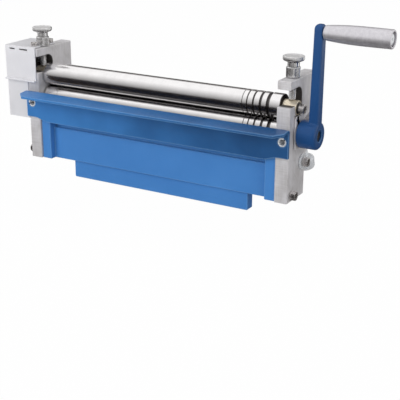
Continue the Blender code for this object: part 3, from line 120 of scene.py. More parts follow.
class Nodes:
    """The node tree of a material or of the room."""

    def __init__(self, holder):
        holder.use_nodes = True
        self.tree = holder.node_tree

    def put(self, socket, value):
        """A value set on a socket, or another node's output linked to it."""
        if isinstance(value, Shade):
            self.tree.links.new(value.socket, socket)
        else:
            socket.default_value = value

    def node(self, kind, settings=None, values=None, output=0):
        """Any node: its settings first, then the values or links of its sockets."""
        made = self.tree.nodes.new("ShaderNode" + kind)
        for name, value in (settings or {}).items():
            setattr(made, name, value)
        for name, value in (values or {}).items():
            self.put(made.inputs[name], value)
        return Shade(self, made.outputs[output])

    def between(self, value, low, high, out_low=0.0, out_high=1.0):
        """A value spread from one span onto another, eased and held at the ends."""
        return self.node("MapRange", {"interpolation_type": "SMOOTHSTEP"},
                         {0: value, 1: low, 2: high, 3: out_low, 4: out_high})

    def height_share(self, full, clear):
        """One up to a height, zero from another, straight between them."""
        height = self.node("SeparateXYZ", None, {0: self.node("TexCoord", output="Object")}, 2)
        return self.node("MapRange", None, {0: height, 1: full, 2: clear, 3: 1, 4: 0})

    def seen(self):
        """One for rays from the camera, off metal and through glass, zero for the rest."""
        camera_ray, glossy_ray, transmission_ray = [
            self.node("LightPath", output=f"Is {kind} Ray")
            for kind in ("Camera", "Glossy", "Transmission")]
        either = camera_ray.maths("MAXIMUM", camera_ray, glossy_ray)
        return either.maths("MAXIMUM", either, transmission_ray)


def staged(name, points, cover_kind, cover_values, base_kind, base_values, share):
    """A flat sheet of the stand through four or more points, two shaders mixed by a share."""
    mesh = bpy.data.meshes.new(name)
    mesh.from_pydata(points, [], [list(range(len(points)))])
    sheet = bpy.data.objects.new(name, mesh)
    scene.collection.objects.link(sheet)
    material = bpy.data.materials.new(name)
    nodes = Nodes(material)
    base = nodes.node(base_kind, None, base_values)
    cover = nodes.node(cover_kind, None, cover_values)
    surface = nodes.tree.nodes["Material Output"].inputs["Surface"]
    nodes.put(surface, nodes.node("MixShader", None, {0: share(nodes), 1: base, 2: cover}))
    mesh.materials.append(material)
    return sheet


WHITE = (1, 1, 1, 1)
FLOOR_TONE = (0.66, 0.66, 0.66, 1)
FLOOR_GLOW = 0.985
FLOOR_GAP = 0.0005
FLOOR_REACH = 15
FLOOR_SIDES = 64
crank_axis_z = np.array(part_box("lower_roll")).mean(0)[2]
floor_z = 2 * crank_axis_z - cad_box[1].z - FLOOR_GAP
around = np.arange(FLOOR_SIDES) * math.tau / FLOOR_SIDES
disc = np.column_stack([FLOOR_REACH * np.cos(around), FLOOR_REACH * np.sin(around),
                        np.full(FLOOR_SIDES, floor_z)])
staged("floor", disc.tolist(), "Emission", {"Color": WHITE}, "BsdfDiffuse", {"Color": FLOOR_TONE},
       lambda nodes: nodes.seen() * FLOOR_GLOW)


def upright(left, right, depth, top):
    """Corners of an upright sheet that stands on the floor."""
    return [(left, depth, floor_z), (right, depth, floor_z), (right, depth, top),
            (left, depth, top)]


# A screen's corners, the heights up to which it is full and from which it is clear, how
# steeply it thins out between them, and how much it covers where it is full.
SCREEN_TONE = (0.045, 0.036, 0.034, 1)
ground_z = floor_z + FLOOR_GAP / 2
SCREENS = {
    "front_screen": (upright(-0.45, 0.35, -0.065, 0.28), 0.085, 0.28, 2.7, 1.0),
    "back_screen": (upright(-1.6, 0.4, 0.9, 1.2), 0.86, 1.20, 1.0, 0.92),
    "ground_screen": ([(-0.8, -0.9, ground_z), (0.6, -0.9, ground_z), (0.6, 0.9, ground_z),
                       (-0.8, 0.9, ground_z)], 0.085, 0.28, 1.0, 0.92),
}
for name, (corners, full, clear, fall, cover) in SCREENS.items():
    screen = staged(name, corners, "BsdfDiffuse", {"Color": SCREEN_TONE}, "BsdfTransparent", {},
                    lambda nodes: nodes.node("Math", {"operation": "POWER"}, {
                        0: nodes.height_share(full, clear), 1: fall}) * cover)
    screen.visible_camera = screen.visible_diffuse = False
    screen.visible_shadow = screen.visible_transmission = False

ROOM_LIGHT = 0.42
room = bpy.data.worlds.new("room")
scene.world = room
room_nodes = Nodes(room)
backdrop = room_nodes.tree.nodes["Background"].inputs
backdrop["Color"].default_value = WHITE
room_nodes.put(backdrop["Strength"], room_nodes.seen() * (1 - ROOM_LIGHT) + ROOM_LIGHT)

# A lamp's place, its side and its watts; all three face the rolls' middle.
LAMPS_FACE = Vector((0, 0, 0.06))
LAMPS = {
    "front_lamp": ((-0.75, -1.9, 0.75), 1.8, 28),
    "side_lamp": ((1.7, -0.7, 0.7), 1.2, 8),
    "top_lamp": ((-0.2, 0.3, 1.9), 1.4, 12),
}
for name, (place, width, watts) in LAMPS.items():
    lamp = bpy.data.lights.new(name, "AREA")
    lamp.shape = "SQUARE"
    lamp.size = width
    lamp.energy = watts
    holder = bpy.data.objects.new(name, lamp)
    holder.location = place
    holder.visible_glossy = False
    holder.rotation_euler = (LAMPS_FACE - Vector(place)).to_track_quat("-Z", "Y").to_euler()
    scene.collection.objects.link(holder)


# Bed casting: grey iron, sprayed blue. The long panel is set back between two end pads,
# a ledge runs above it, and the tongue below goes into a vise. The spray left a fine orange peel.
class Finish(Nodes):
    """A material built up from nodes; place is the Object coordinate in metres."""

    def __init__(self, name, slot, **fixed):
        self.material = bpy.data.materials.new(name)
        super().__init__(self.material)
        self.slot = slot
        self.shader = self.tree.nodes["Principled BSDF"]
        self.place = self.node("TexCoord", output="Object")
        self.set(**fixed)

    def set(self, **values):
        """Values or links on the shader's own sockets."""
        for name, value in values.items():
            socket = name.replace("_", " ").title().replace("Ior", "IOR")
            self.put(self.shader.inputs[socket], value)

    def along(self, direction, pitch):
        """Distance along a direction, counted in pitches."""
        return self.node("VectorMath", {"operation": "DOT_PRODUCT"},
                         {0: self.place, 1: np.array(direction) / pitch}, "Value")

    def noise(self, size, detail=2, roughness=0.5):
        """Cloudy noise with lumps of a size in metres."""
        return self.node("TexNoise", None, {"Vector": self.place, "Scale": 1 / size,
                                            "Detail": detail, "Roughness": roughness})

    def rings(self, pitch, detail, roughness=0.5):
        """Noise that changes along X alone, with a pitch in metres."""
        return self.node("TexNoise", {"noise_dimensions": "1D"}, {
            "W": self.along((1, 0, 0), pitch), "Scale": 1, "Detail": detail,
            "Roughness": roughness})

    def strokes(self, across, width, lengthwise, length, layer):
        """Noise drawn out into strokes: one width across, one length lengthwise, and a new
        pattern along X with each layer."""
        vector = self.node("CombineXYZ", None, {
            0: self.along(across, width), 1: self.along(lengthwise, length),
            2: self.along((1, 0, 0), layer)})
        return self.node("TexNoise", None, {"Vector": vector, "Scale": 1, "Detail": 2,
                                            "Roughness": 0.6})

    def mix(self, factor, first, second):
        """Two colours mixed by a factor."""
        return self.node("Mix", {"data_type": "RGBA"}, {0: factor, 6: first, 7: second}, 2)

    def open_air(self, reach):
        """One on open faces, falling to zero deep in the piece's own hollows, felt within a
        reach in metres."""
        return self.node("AmbientOcclusion", {"samples": 8, "only_local": True},
                         {"Distance": reach}, "AO")

    def from_axis(self, centre):
        """Distance from a line along X through a centre (y, z)."""
        spoke = self.node("VectorMath", {"operation": "SUBTRACT"}, {0: self.place, 1: (0, *centre)})
        square = self.node("VectorMath", {"operation": "MULTIPLY"}, {0: spoke, 1: (0, 1, 1)})
        return self.node("VectorMath", {"operation": "LENGTH"}, {0: square}, "Value")

    def facing(self, axis):
        """How far the surface faces along X, Y or Z (0, 1 or 2), from -1 to 1."""
        normal = self.node("NewGeometry", output="Normal")
        return self.node("SeparateXYZ", None, {0: normal}, axis)

    def edges(self, radius):
        """Zero on a face, growing at edges: how far the normal rounded by a radius leans from
        the true one."""
        rounded = self.node("Bevel", {"samples": 4}, {"Radius": radius})
        lean = self.node("VectorMath", {"operation": "DOT_PRODUCT"},
                         {0: rounded, 1: self.node("NewGeometry", output="Normal")}, "Value")
        return 1 - lean

    def toned(self, pattern, span, dark, light):
        """Two tones mixed as a pattern crosses a span."""
        return self.mix(self.between(pattern, *span), tone(*dark), tone(*light))

    def edge_wear_and_highlight(self, colour, radius, span, most, edge_tone):
        """A colour lightened towards an edge tone where the edges' lean crosses a span: wear on
        metal, painted highlight on paint.
        """
        return self.mix(self.between(self.edges(radius), *span, 0, most), colour, tone(*edge_tone))

    def shaded_in_hollows(self, colour, reach, span, most, shade_tone):
        """Painted shade: a colour darkened towards a tone in hollows, where the open air's share
        crosses a span.
        """
        return self.mix(self.between(self.open_air(reach), *span, most, 0), colour, tone(*shade_tone))

    def bump(self, height, depth, strength, edge=0.0):
        """Relief of a depth in metres, on edges rounded by a radius where one is given."""
        values = {"Height": height, "Distance": depth, "Strength": strength}
        if edge:
            values["Normal"] = self.node("Bevel", {"samples": 4}, {"Radius": edge})
        self.set(normal=self.node("Bump", None, values))


MERGE = 1e-6
FLAT_ANGLE = math.radians(0.5)
EDGE_ANGLE = math.radians(40)


def settle(node, make, points, faces, finish, body, crease=35, edge=0.0):
    """A new piece in a CAD node's place: doubles merged, faces outward, smooth but for its
    creases. With an edge, flat faces are made whole and sharp edges are rounded by that width."""
    name = f"{node}_{make}"
    mesh = bpy.data.meshes.new(name)
    mesh.from_pydata(points.tolist(), [], faces)
    shape = bmesh.new()
    shape.from_mesh(mesh)
    bmesh.ops.remove_doubles(shape, verts=shape.verts, dist=MERGE)
    bmesh.ops.dissolve_degenerate(shape, edges=shape.edges, dist=MERGE)
    if edge:
        bmesh.ops.dissolve_limit(shape, angle_limit=FLAT_ANGLE, verts=shape.verts,
                                 edges=shape.edges)
    bmesh.ops.recalc_face_normals(shape, faces=shape.faces)
    shape.to_mesh(mesh)
    shape.free()
    mesh.shade_smooth()
    mesh.materials.append(finish.material)
    piece = bpy.data.objects.new(name, mesh)
    scene.collection.objects.link(piece)
    if edge:
        rounding = piece.modifiers.new("rounding", "BEVEL")
        rounding.limit_method = "ANGLE"
        rounding.angle_limit = EDGE_ANGLE
        rounding.width = edge
        rounding.segments = 3
        rounding.use_clamp_overlap = False
    else:
        mesh.set_sharp_from_angle(angle=math.radians(crease))
    piece.modifiers.new("even_shading", "WEIGHTED_NORMAL").keep_sharp = True
    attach(piece, body)
    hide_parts(node)
    return piece


def refined(node, make, finish, body, edge):
    """A copy of a CAD node's mesh, merged, with its sharp edges rounded by a width."""
    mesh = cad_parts[node].data
    points = np.empty(len(mesh.vertices) * 3)
    mesh.vertices.foreach_get("co", points)
    corners = np.empty(len(mesh.loops), int)
    mesh.loops.foreach_get("vertex_index", corners)
    return settle(node, make, points.reshape(-1, 3), corners.reshape(-1, 3).tolist(), finish, body,
                  edge=edge)


def painted(name, deep, light, coat, shade_along_x=0.0):
    """The blue spray paint between two tones, under a clear coat of a weight. Painted shade makes
    it deeper along +X by a share, sharp edges get a painted highlight, and hollows get painted
    shade."""
    paint = Finish(name, "blue_paint", coat_weight=coat, coat_roughness=0.16,
                   specular_ior_level=0.3)
    cloud = paint.noise(0.05, 3)
    sag = paint.noise(0.006)
    peel = paint.noise(0.0011)
    # The spray's cloudy tones, with painted shade deepening them along +X.
    spray_with_painted_shade = paint.mix(cloud - paint.along((1, 0, 0), 0.3) * shade_along_x, tone(*deep), tone(*light))
    # Painted highlight: sharp edges lightened towards a pale blue.
    painted_edge_highlight = paint.edge_wear_and_highlight(spray_with_painted_shade, 0.0016, (0.01, 0.12), 0.8, (132, 180, 226))
    # Painted shade: hollows darkened towards a deep blue.
    paint.set(base_color=paint.shaded_in_hollows(painted_edge_highlight, 0.003, (0.35, 0.85), 0.4, (18, 48, 92)))
    paint.set(roughness=paint.between(sag, 0.35, 0.65, 0.30, 0.42))
    paint.bump(peel + sag * 2, 0.00004, 0.5, edge=0.0007)
    return paint


BED_EDGE = 0.0008
blue_paint = painted("blue_paint", (62, 122, 190), (76, 138, 206), 0.3)
refined("bed_casting", "cast", blue_paint, "base", BED_EDGE)

# Side frames: thick steel plates, milled on every face and lightly broken at the edges.
# The cutter leaves fine strokes and handling leaves brighter corners. Their hollows get painted
# shade, and the walls of the top roll's slot are painted nearly black for the shade inside it.
FRAME_EDGE = 0.0004
SLOT_SHADE_RISE = 0.006
SLOT_SHADE_REACH = (0.0155, 0.019)
machined_steel = Finish("machined_steel", "machined_steel", metallic=0.3)
upright_strokes = machined_steel.strokes((0.71, 0.71, 0), 0.0005, (0, 0, 1), 0.03, 0.05)
arcs = machined_steel.strokes((0, 0.77, 0.64), 0.0008, (0, -0.64, 0.77), 0.02, 0.05)
marks = upright_strokes * 0.6 + arcs * 0.4
stain = machined_steel.noise(0.018, 4)
milled = machined_steel.toned(marks * 0.5 + stain * 0.5, (0.32, 0.66),
                              (200, 197, 197), (234, 232, 235))
worn = machined_steel.edge_wear_and_highlight(milled, 0.0009, (0.02, 0.2), 0.6, (240, 238, 238))
# Painted shade: the frames' own hollows darkened towards a dark grey.
hollow_shaded = machined_steel.shaded_in_hollows(worn, 0.004, (0.2, 0.85), 0.7, (70, 66, 64))
# Painted shade in the top roll's slot: walls within a reach of the slot's middle go nearly black.
slot_middle = np.array(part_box("top_roll")).mean(0)[1:] + (0, SLOT_SHADE_RISE)
painted_slot_shade = machined_steel.between(machined_steel.from_axis(slot_middle), *SLOT_SHADE_REACH, 0.92, 0)
sideways = machined_steel.facing(0)
wall = machined_steel.between(sideways.maths("ABSOLUTE", sideways), 0.35, 0.6, 1, 0)
machined_steel.set(base_color=machined_steel.mix(painted_slot_shade * wall, hollow_shaded, tone(40, 33, 30)))
machined_steel.set(roughness=machined_steel.between(marks, 0.3, 0.7, 0.38, 0.54))
machined_steel.bump(marks, 0.00003, 0.6, edge=0.0005)
for side in ("left", "right"):
    refined(f"frame_{side}", "milled", machined_steel, "base", FRAME_EDGE)

# Feed plate: bent steel sheet in the same blue, in deeper tones for painted shade that deepen
# further along +X; its lip guides the work in, and a slotted spring pin through each ear holds it
# to the frame's front face. The pins are rolled from spring steel and zinc plated.
PLATE_EDGE = 0.0006
# Painted shade: the plate's paint is a darker copy of the bed's blue, deeper still along +X.
plate_paint_shaded = painted("plate_paint_shaded", (34, 80, 130), (60, 124, 190), 0.15, shade_along_x=0.9)
feed_plate = refined("feed_plate", "bent", plate_paint_shaded, "base", PLATE_EDGE)
feed_plate.visible_glossy = False


def reach(node, way):
    """The middle of a node's end face on the side that it points to, and its length that way."""
    low, high = np.array(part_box(node))
    length = abs((high - low) @ way)
    return (low + high) / 2 + np.array(way) * length / 2, length


def turned(node, make, finish, body, origin, axis, along, radius,
           ring=False, steps=96, sector=None, crease=35):
    """A profile carried round an axis. A point lies at origin + along * axis + radius *
    (cos t * u + sin t * v), where u and v are square to the axis; a row of radii may change
    with the turn t. A ring's profile closes on itself, and a sector is cut between two turns
    and closed by flat ends."""
    axis = np.array(axis, float)
    u = np.cross(axis, (0, 0, 1) if max(abs(axis[:2])) > 0.9 else (1, 0, 0))
    u /= np.linalg.norm(u)
    v = np.cross(axis, u)
    radius = np.stack(np.broadcast_arrays(np.zeros(steps), *radius)[1:])[..., None]
    if sector is None:
        turn = np.arange(steps) * math.tau / steps
    else:
        turn = np.linspace(*sector, steps)
    spoke = np.cos(turn)[:, None] * u + np.sin(turn)[:, None] * v
    points = origin + np.array(along, float)[:, None, None] * axis + radius * spoke
    rows = len(radius)
    index = np.arange(rows * steps).reshape(rows, steps)
    if ring:
        index = np.vstack([index, index[:1]])
    if sector is None:
        index = np.hstack([index, index[:, :1]])
    squares = (index[:-1, :-1], index[:-1, 1:], index[1:, 1:], index[1:, :-1])
    faces = np.stack(squares, axis=-1).reshape(-1, 4).tolist()
    if sector is not None:
        faces += [index[:-1, 0].tolist(), index[:-1, -1][::-1].tolist()]
    return settle(node, make, points.reshape(-1, 3), faces, finish, body, crease)


def sleeve(length, inner, outer, chamfer):
    """Closed half section of a ring: distances along its axis, and radii, with all four
    corners broken."""
    along = [0, 0, chamfer, length - chamfer, length, length, length - chamfer, chamfer]
    radius = [inner + chamfer, outer - chamfer, outer, outer, outer - chamfer, inner + chamfer,
              inner, inner]
    return along, radius


PIN_RADIUS = 0.0047
PIN_WALL = 0.0015
PIN_CHAMFER = 0.0004
PIN_OUTSET = 0.001
PIN_SLIT = math.radians(24)
PIN_TURNS = {"left": math.radians(160), "right": math.radians(310)}
bright_zinc = Finish("bright_zinc", "bright_zinc", metallic=0.2)
scuff = bright_zinc.noise(0.0015, 4, 0.6)
plated = bright_zinc.toned(scuff, (0.35, 0.65), (222, 225, 230), (246, 248, 250))
# Painted shade: the pieces' own hollows darkened towards a dark grey.
bright_zinc.set(base_color=bright_zinc.shaded_in_hollows(plated, 0.003, (0.15, 0.85), 0.85, (46, 44, 44)))
bright_zinc.set(roughness=bright_zinc.between(scuff, 0.3, 0.7, 0.16, 0.30))
bright_zinc.bump(scuff, 0.00001, 0.4, edge=0.0003)
for side, slit in PIN_TURNS.items():
    front, length = reach(f"feed_plate_pin_{side}", (0, -1, 0))
    frame_middle = np.array(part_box(f"frame_{side}")).mean(0)[0]
    front[0] = frame_middle + math.copysign(PIN_OUTSET, frame_middle)
    turned(f"feed_plate_pin_{side}", "rolled", bright_zinc, "base", front, (0, 1, 0),
           *sleeve(length, PIN_RADIUS - PIN_WALL, PIN_RADIUS, PIN_CHAMFER), ring=True, steps=48,
           sector=(slit + PIN_SLIT / 2, slit + math.tau - PIN_SLIT / 2))

# Frame screws: dark steel socket cap screws, two a side, that clamp the frames to the casting.
# Their heads are knurled and the hex socket is broached; the upper ones bear on plain washers.
M6_SCREW = {"head_radius": 0.005, "head_length": 0.006, "shank_radius": 0.003}
WASHER_BORE = 0.0033
HEAD_RIDGES = 24
HEX_SHARE = 0.55
HEX_STEP = math.tau / 6
RIDGE_DEPTH = 0.00012
SCREW_STEPS = 72
dark_steel = Finish("dark_screw_steel", "dark_screw_steel", metallic=0.95)
rub = dark_steel.noise(0.0012, 3)
oiled = dark_steel.toned(rub, (0.3, 0.7), (200, 196, 194), (232, 228, 226))
edge_tone = dark_steel.edge_wear_and_highlight(oiled, 0.0006, (0.02, 0.2), 0.6, (226, 222, 220))
# Painted shade: hollows such as the hex socket darkened nearly to black.
dark_steel.set(base_color=dark_steel.shaded_in_hollows(edge_tone, 0.0025, (0.2, 0.9), 0.95, (14, 13, 14)))
dark_steel.set(roughness=dark_steel.between(rub, 0.3, 0.7, 0.20, 0.34))
dark_steel.bump(rub, 0.00001, 0.4, edge=0.0002)


def ridges(radius, depth, count, steps):
    """A round outline with even ridges: the radius less a depth times a wave that runs
    straight down and up."""
    turn = np.arange(steps) / steps
    return radius - depth * np.abs(turn * count * 2 % 2 - 1)


def socket_screw(node, body, outward, head_radius, head_length, shank_radius):
    """A socket cap screw, measured inward from its head's face. The socket's wall is its
    apothem divided by the cosine of the turn from the nearest flat, and the head's side falls
    and rises in even ridges."""
    face, length = reach(node, outward)
    turn = np.arange(SCREW_STEPS) * math.tau / SCREW_STEPS
    apothem = head_radius * HEX_SHARE * math.cos(HEX_STEP / 2)
    hexagon = apothem / np.cos(turn % HEX_STEP - HEX_STEP / 2)
    ridged = ridges(head_radius, RIDGE_DEPTH, HEAD_RIDGES, SCREW_STEPS)
    deep = head_length * HEX_SHARE
    chamfer = head_radius * 0.12
    profile = [(deep + 0.2 * chamfer, 0), (deep, hexagon * 0.97), (chamfer * 0.4, hexagon),
               (0, hexagon * 1.07), (0, head_radius - chamfer),
               (chamfer * 0.35, head_radius - chamfer * 0.35), (chamfer, ridged),
               (head_length - chamfer / 2, ridged), (head_length, head_radius - chamfer / 2),
               (head_length, shank_radius), (length - chamfer, shank_radius),
               (length, shank_radius - chamfer), (length, 0)]
    turned(node, "machined", dark_steel, body, face, -np.array(outward), *zip(*profile),
           steps=SCREW_STEPS)


def washer(node, body, outward):
    """A plain zinc plated washer with lightly broken edges."""
    face, length = reach(node, outward)
    low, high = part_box(node)
    turned(node, "punched", bright_zinc, body, face, -np.array(outward),
           *sleeve(length, WASHER_BORE, (high.z - low.z) / 2, length * 0.15), ring=True, steps=64)


OUTWARD = {"left": (-1, 0, 0), "right": (1, 0, 0)}
for side, outward in OUTWARD.items():
    for place in ("upper", "lower"):
        socket_screw(f"frame_screw_{side}_{place}", "base", outward, **M6_SCREW)
    washer(f"frame_screw_washer_{side}", "base", outward)

# Gear cover: a folded sheet box over the gears with a wider flap in front, in a pale satin coat.
# Two ears reach over the left frame and are held by small socket cap screws.
COVER_EDGE = 0.0004
COVER_SCREW = {"head_radius": 0.0038, "head_length": 0.004, "shank_radius": 0.002}
sheet_steel = Finish("sheet_steel", "sheet_steel", metallic=0.15, coat_weight=0.15,
                     coat_roughness=0.3)
drift = sheet_steel.noise(0.03, 4)
grain = sheet_steel.noise(0.0009)
satin = sheet_steel.mix(drift, tone(222, 221, 226), tone(240, 240, 243))
chipped = sheet_steel.edge_wear_and_highlight(satin, 0.0008, (0.04, 0.22), 0.5, (250, 250, 250))
# Painted shade: the cover's hollows darkened towards a mid grey.
sheet_steel.set(base_color=sheet_steel.shaded_in_hollows(chipped, 0.005, (0.2, 0.8), 0.5, (120, 116, 116)))
sheet_steel.set(roughness=sheet_steel.between(grain, 0.3, 0.7, 0.36, 0.5))
sheet_steel.bump(grain + drift, 0.00002, 0.4, edge=0.0005)
refined("gear_cover", "folded", sheet_steel, "base", COVER_EDGE)
for place in ("front", "back"):
    socket_screw(f"cover_screw_{place}", "base", (0, 0, 1), **COVER_SCREW)

# Bushes and keepers: turned brass bushes carry the rolls; a small milled plate with two
# flat-headed screws holds each lower bush in its frame.
BUSH_RADIUS = 0.008
BUSH_BORE = 0.00615
BUSH_CHAMFER = 0.0004
KEEPER_EDGE = 0.0003
KEEPER_SCREW = {"head_radius": 0.0028, "head_length": 0.0012, "shank_radius": 0.0018}
bush_brass = Finish("bush_brass", "bush_brass", metallic=0.7)
lathe = bush_brass.strokes((0, 0, 1), 0.0004, (0, 1, 0), 0.0004, 0.0003)
fresh = bush_brass.toned(lathe, (0.3, 0.7), (238, 220, 190), (252, 244, 228))
# Painted shade: the bushes' hollows darkened towards a dark brown.
bush_brass.set(base_color=bush_brass.shaded_in_hollows(fresh, 0.002, (0.2, 0.85), 0.8, (64, 44, 26)))
bush_brass.set(roughness=bush_brass.between(lathe, 0.3, 0.7, 0.24, 0.38))
bush_brass.bump(lathe, 0.00001, 0.5, edge=0.0002)
for side, outward in OUTWARD.items():
    for place, body in (("top", "top_bushes"), ("lower", "base")):
        face, length = reach(f"{place}_bush_{side}", outward)
        turned(f"{place}_bush_{side}", "turned", bush_brass, body, face, -np.array(outward),
               *sleeve(length, BUSH_BORE, BUSH_RADIUS, BUSH_CHAMFER), ring=True)
    refined(f"bearing_keeper_{side}", "milled", machined_steel, "base", KEEPER_EDGE)
    for place in ("upper", "lower"):
        socket_screw(f"keeper_screw_{side}_{place}", "base", outward, **KEEPER_SCREW)

# Rolls: ground and polished steel bars with turned journals. The top and lower rolls have
# half-round grooves for wire near the crank's end, and the sheet's edges have scored the lower
# one. A groove or score is a place along X and a width.
ROLL_RADIUS = 0.013
ROLL_REACH = 0.1513
REAR_ROLL_REACH = 0.1500
ROLL_EDGE = 0.0006
JOURNAL_RADIUS = 0.006
END_HOLE_RADIUS = 0.0033
END_HOLE_DEPTH = 0.010
DRILL_POINT = 0.001
WIRE_GROOVES = ((0.1379, 0.0040), (0.1294, 0.0030), (0.1212, 0.0022), (0.1140, 0.0016),
                (0.1083, 0.0010))
LOWER_SHIFT = 0.0012
SCORES = ((0.09305, 0.00035), (0.0852, 0.00028), (0.0816, 0.00028), (-0.1338, 0.0008))
NIP_REACH = 0.008


def ground_finish(name, centre):
    """Polished steel: bright on the roll's round face, with faint rings. Painted shade darkens it
    where another roll lies close, and where the distance from the roll's axis falls below its
    radius, in grooves and on end faces, which are also duller; there the walls facing +X get the
    most."""
    finish = Finish(name, "ground_steel", metallic=1.0)
    # Painted shade in grooves and on end faces, strongest on walls facing +X.
    painted_groove_shade = finish.between(finish.from_axis(centre), ROLL_RADIUS - 0.0005, ROLL_RADIUS - 0.00006,
                            1, 0)
    painted_groove_shade *= finish.between(finish.facing(0), -0.6, 0.1, 0.45, 1)
    rings = finish.rings(0.0005, 3, 0.7)
    smear = finish.noise(0.012, 4)
    polished = finish.toned(rings * 0.6 + smear * 0.4, (0.35, 0.65),
                            (240, 238, 238), (254, 252, 252))
    # Painted shade where another roll lies close: contact shade in the nip.
    closeness = finish.node("AmbientOcclusion", {"samples": 8}, {"Distance": NIP_REACH}, "AO")
    painted_nip_shade = finish.between(closeness, 0.15, 0.6, 0.6, 0)
    outside = finish.mix(painted_nip_shade, polished, tone(60, 52, 50))
    finish.set(base_color=finish.mix(painted_groove_shade * 0.92, outside, tone(44, 38, 36)))
    worn = finish.between(smear * 0.5 + rings * 0.5, 0.35, 0.65, 0.15, 0.23)
    finish.set(roughness=worn + painted_groove_shade * 0.24)
    finish.bump(rings, 0.000004, 0.5)
    return finish


def roll(node, body, body_reach, grooves, holes):
    """A roll from its left end to its right: journal, rounded edge, body with half-round
    grooves, edge, journal. A hole is the depth of the tapped hole in the left or right end,
    or zero."""
    low, high = np.array(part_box(node))
    centre = (low + high) / 2
    quarter = np.linspace(0, math.pi / 2, 5)
    half_turn = np.linspace(0, math.pi, 9)
    along, radius = [], []
    for groove, width in sorted(grooves):
        along += (groove - width / 2 * np.cos(half_turn)).tolist()
        radius += (ROLL_RADIUS - width / 2 * np.sin(half_turn)).tolist()
    ends = []
    for way, tip, hole in ((-1, low[0], holes[0]), (1, high[0], holes[1])):
        if hole:
            end = [(tip - way * (hole + DRILL_POINT), 0), (tip - way * hole, END_HOLE_RADIUS),
                   (tip, END_HOLE_RADIUS)]
        else:
            end = [(tip, 0)]
        end += [(tip - way * ROLL_EDGE * (1 - math.sin(a)),
                 JOURNAL_RADIUS - ROLL_EDGE * (1 - math.cos(a))) for a in quarter[::-1]]
        end += [(way * body_reach, JOURNAL_RADIUS)]
        end += [(way * (body_reach - ROLL_EDGE * (1 - math.cos(a))),
                 ROLL_RADIUS - ROLL_EDGE * (1 - math.sin(a))) for a in quarter]
        ends.append(end)
    profile = ends[0] + list(zip(along, radius)) + ends[1][::-1]
    turned(node, "ground", ground_finish(f"ground_steel_{node}", centre[1:]), body,
           np.array((0, *centre[1:])), (1, 0, 0), *zip(*profile), steps=128, crease=30)


lower_grooves = [(place + LOWER_SHIFT, width) for place, width in WIRE_GROOVES]
roll("top_roll", "upper_roll", ROLL_REACH, WIRE_GROOVES, (END_HOLE_DEPTH, END_HOLE_DEPTH))
roll("lower_roll", "driven_roll", ROLL_REACH, (*lower_grooves, *SCORES), (END_HOLE_DEPTH, 0))
roll("rear_roll", "bending_roll", REAR_ROLL_REACH, (), (0, 0))
socket_screw("top_roll_end_screw", "upper_roll", (1, 0, 0), **M6_SCREW)

# Gears: hobbed steel, keyed to the rolls' left journals and held by an end screw and washer each.
# Painted shade darkens them between the teeth.
GEAR_EDGE = 0.00025
KEY_EDGE = 0.0002
gear_steel = Finish("gear_steel", "gear_steel", metallic=1.0)
hobbed = gear_steel.strokes((0, 1, 0), 0.0006, (0, 0, 1), 0.0006, 0.004)
greased = gear_steel.toned(hobbed, (0.3, 0.7), (118, 116, 116), (162, 160, 160))
# Painted shade: between the teeth and in other hollows, darkened towards a dark brown.
gear_steel.set(base_color=gear_steel.shaded_in_hollows(greased, 0.003, (0.2, 0.9), 0.8, (34, 28, 22)))
gear_steel.set(roughness=gear_steel.between(hobbed, 0.3, 0.7, 0.28, 0.42))
gear_steel.bump(hobbed, 0.00002, 0.5, edge=0.0002)
for place, body in (("top", "upper_roll"), ("lower", "driven_roll")):
    refined(f"{place}_gear", "hobbed", gear_steel, body, GEAR_EDGE)
    refined(f"{place}_gear_key", "milled", gear_steel, body, KEY_EDGE)
    washer(f"{place}_gear_washer", body, (-1, 0, 0))
    socket_screw(f"{place}_gear_screw", body, (-1, 0, 0), **M6_SCREW)

# Top screws: each is turned in one piece, a dished knurled cap over a neck and a threaded shank
# that presses on the bush; a knurled round nut locks it on the frame.
# A profile's pair is a distance down from the cap's rim and a radius.
CAP_RADIUS = 0.0112
CAP_RIDGES = 60
CAP_STEPS = 240
CAP_DISH = [(0.0006, 0), (0.0006, 0.0078), (0.00045, 0.0084), (0.00010, 0.0090), (0, 0.0094)]
NECK_RADIUS = 0.0062
KNURL_DEPTH = 0.0003
SCREW_RADIUS = 0.004
THREAD_PITCH = 0.00125
THREAD_DEPTH = 0.0006
NUT_RADIUS = 0.0075
NUT_KNURL_DEPTH = 0.00025
NUT_RIDGES = 44
NUT_STEPS = 176
turned_steel = Finish("turned_steel", "bright_zinc")
wear = turned_steel.noise(0.0018, 4, 0.6)
dulled = turned_steel.toned(wear, (0.35, 0.65), (208, 207, 207), (228, 227, 227))
burnished = turned_steel.edge_wear_and_highlight(dulled, 0.0006, (0.02, 0.2), 0.7, (244, 242, 242))
# Painted shade: knurl valleys, the dish and other hollows darkened nearly to black.
turned_steel.set(base_color=turned_steel.shaded_in_hollows(burnished, 0.003, (0.2, 0.8), 0.95, (30, 28, 28)))
upward = turned_steel.between(turned_steel.facing(2), 0.5, 0.95)
turned_steel.set(metallic=1 - upward * 0.9)
turned_steel.set(roughness=turned_steel.between(wear, 0.3, 0.7, 0.12, 0.22) + upward * 0.2)
turned_steel.bump(wear, 0.00001, 0.4, edge=0.0002)


def threads(start, end, steps):
    """Rows of a screw thread: the radius less a depth times a straight wave that climbs one
    pitch a turn."""
    place = np.arange(start, end, THREAD_PITCH / 6)
    helix = place[:, None] / THREAD_PITCH + np.arange(steps) / steps
    return zip(place, SCREW_RADIUS - THREAD_DEPTH * np.abs(helix % 1 * 2 - 1))


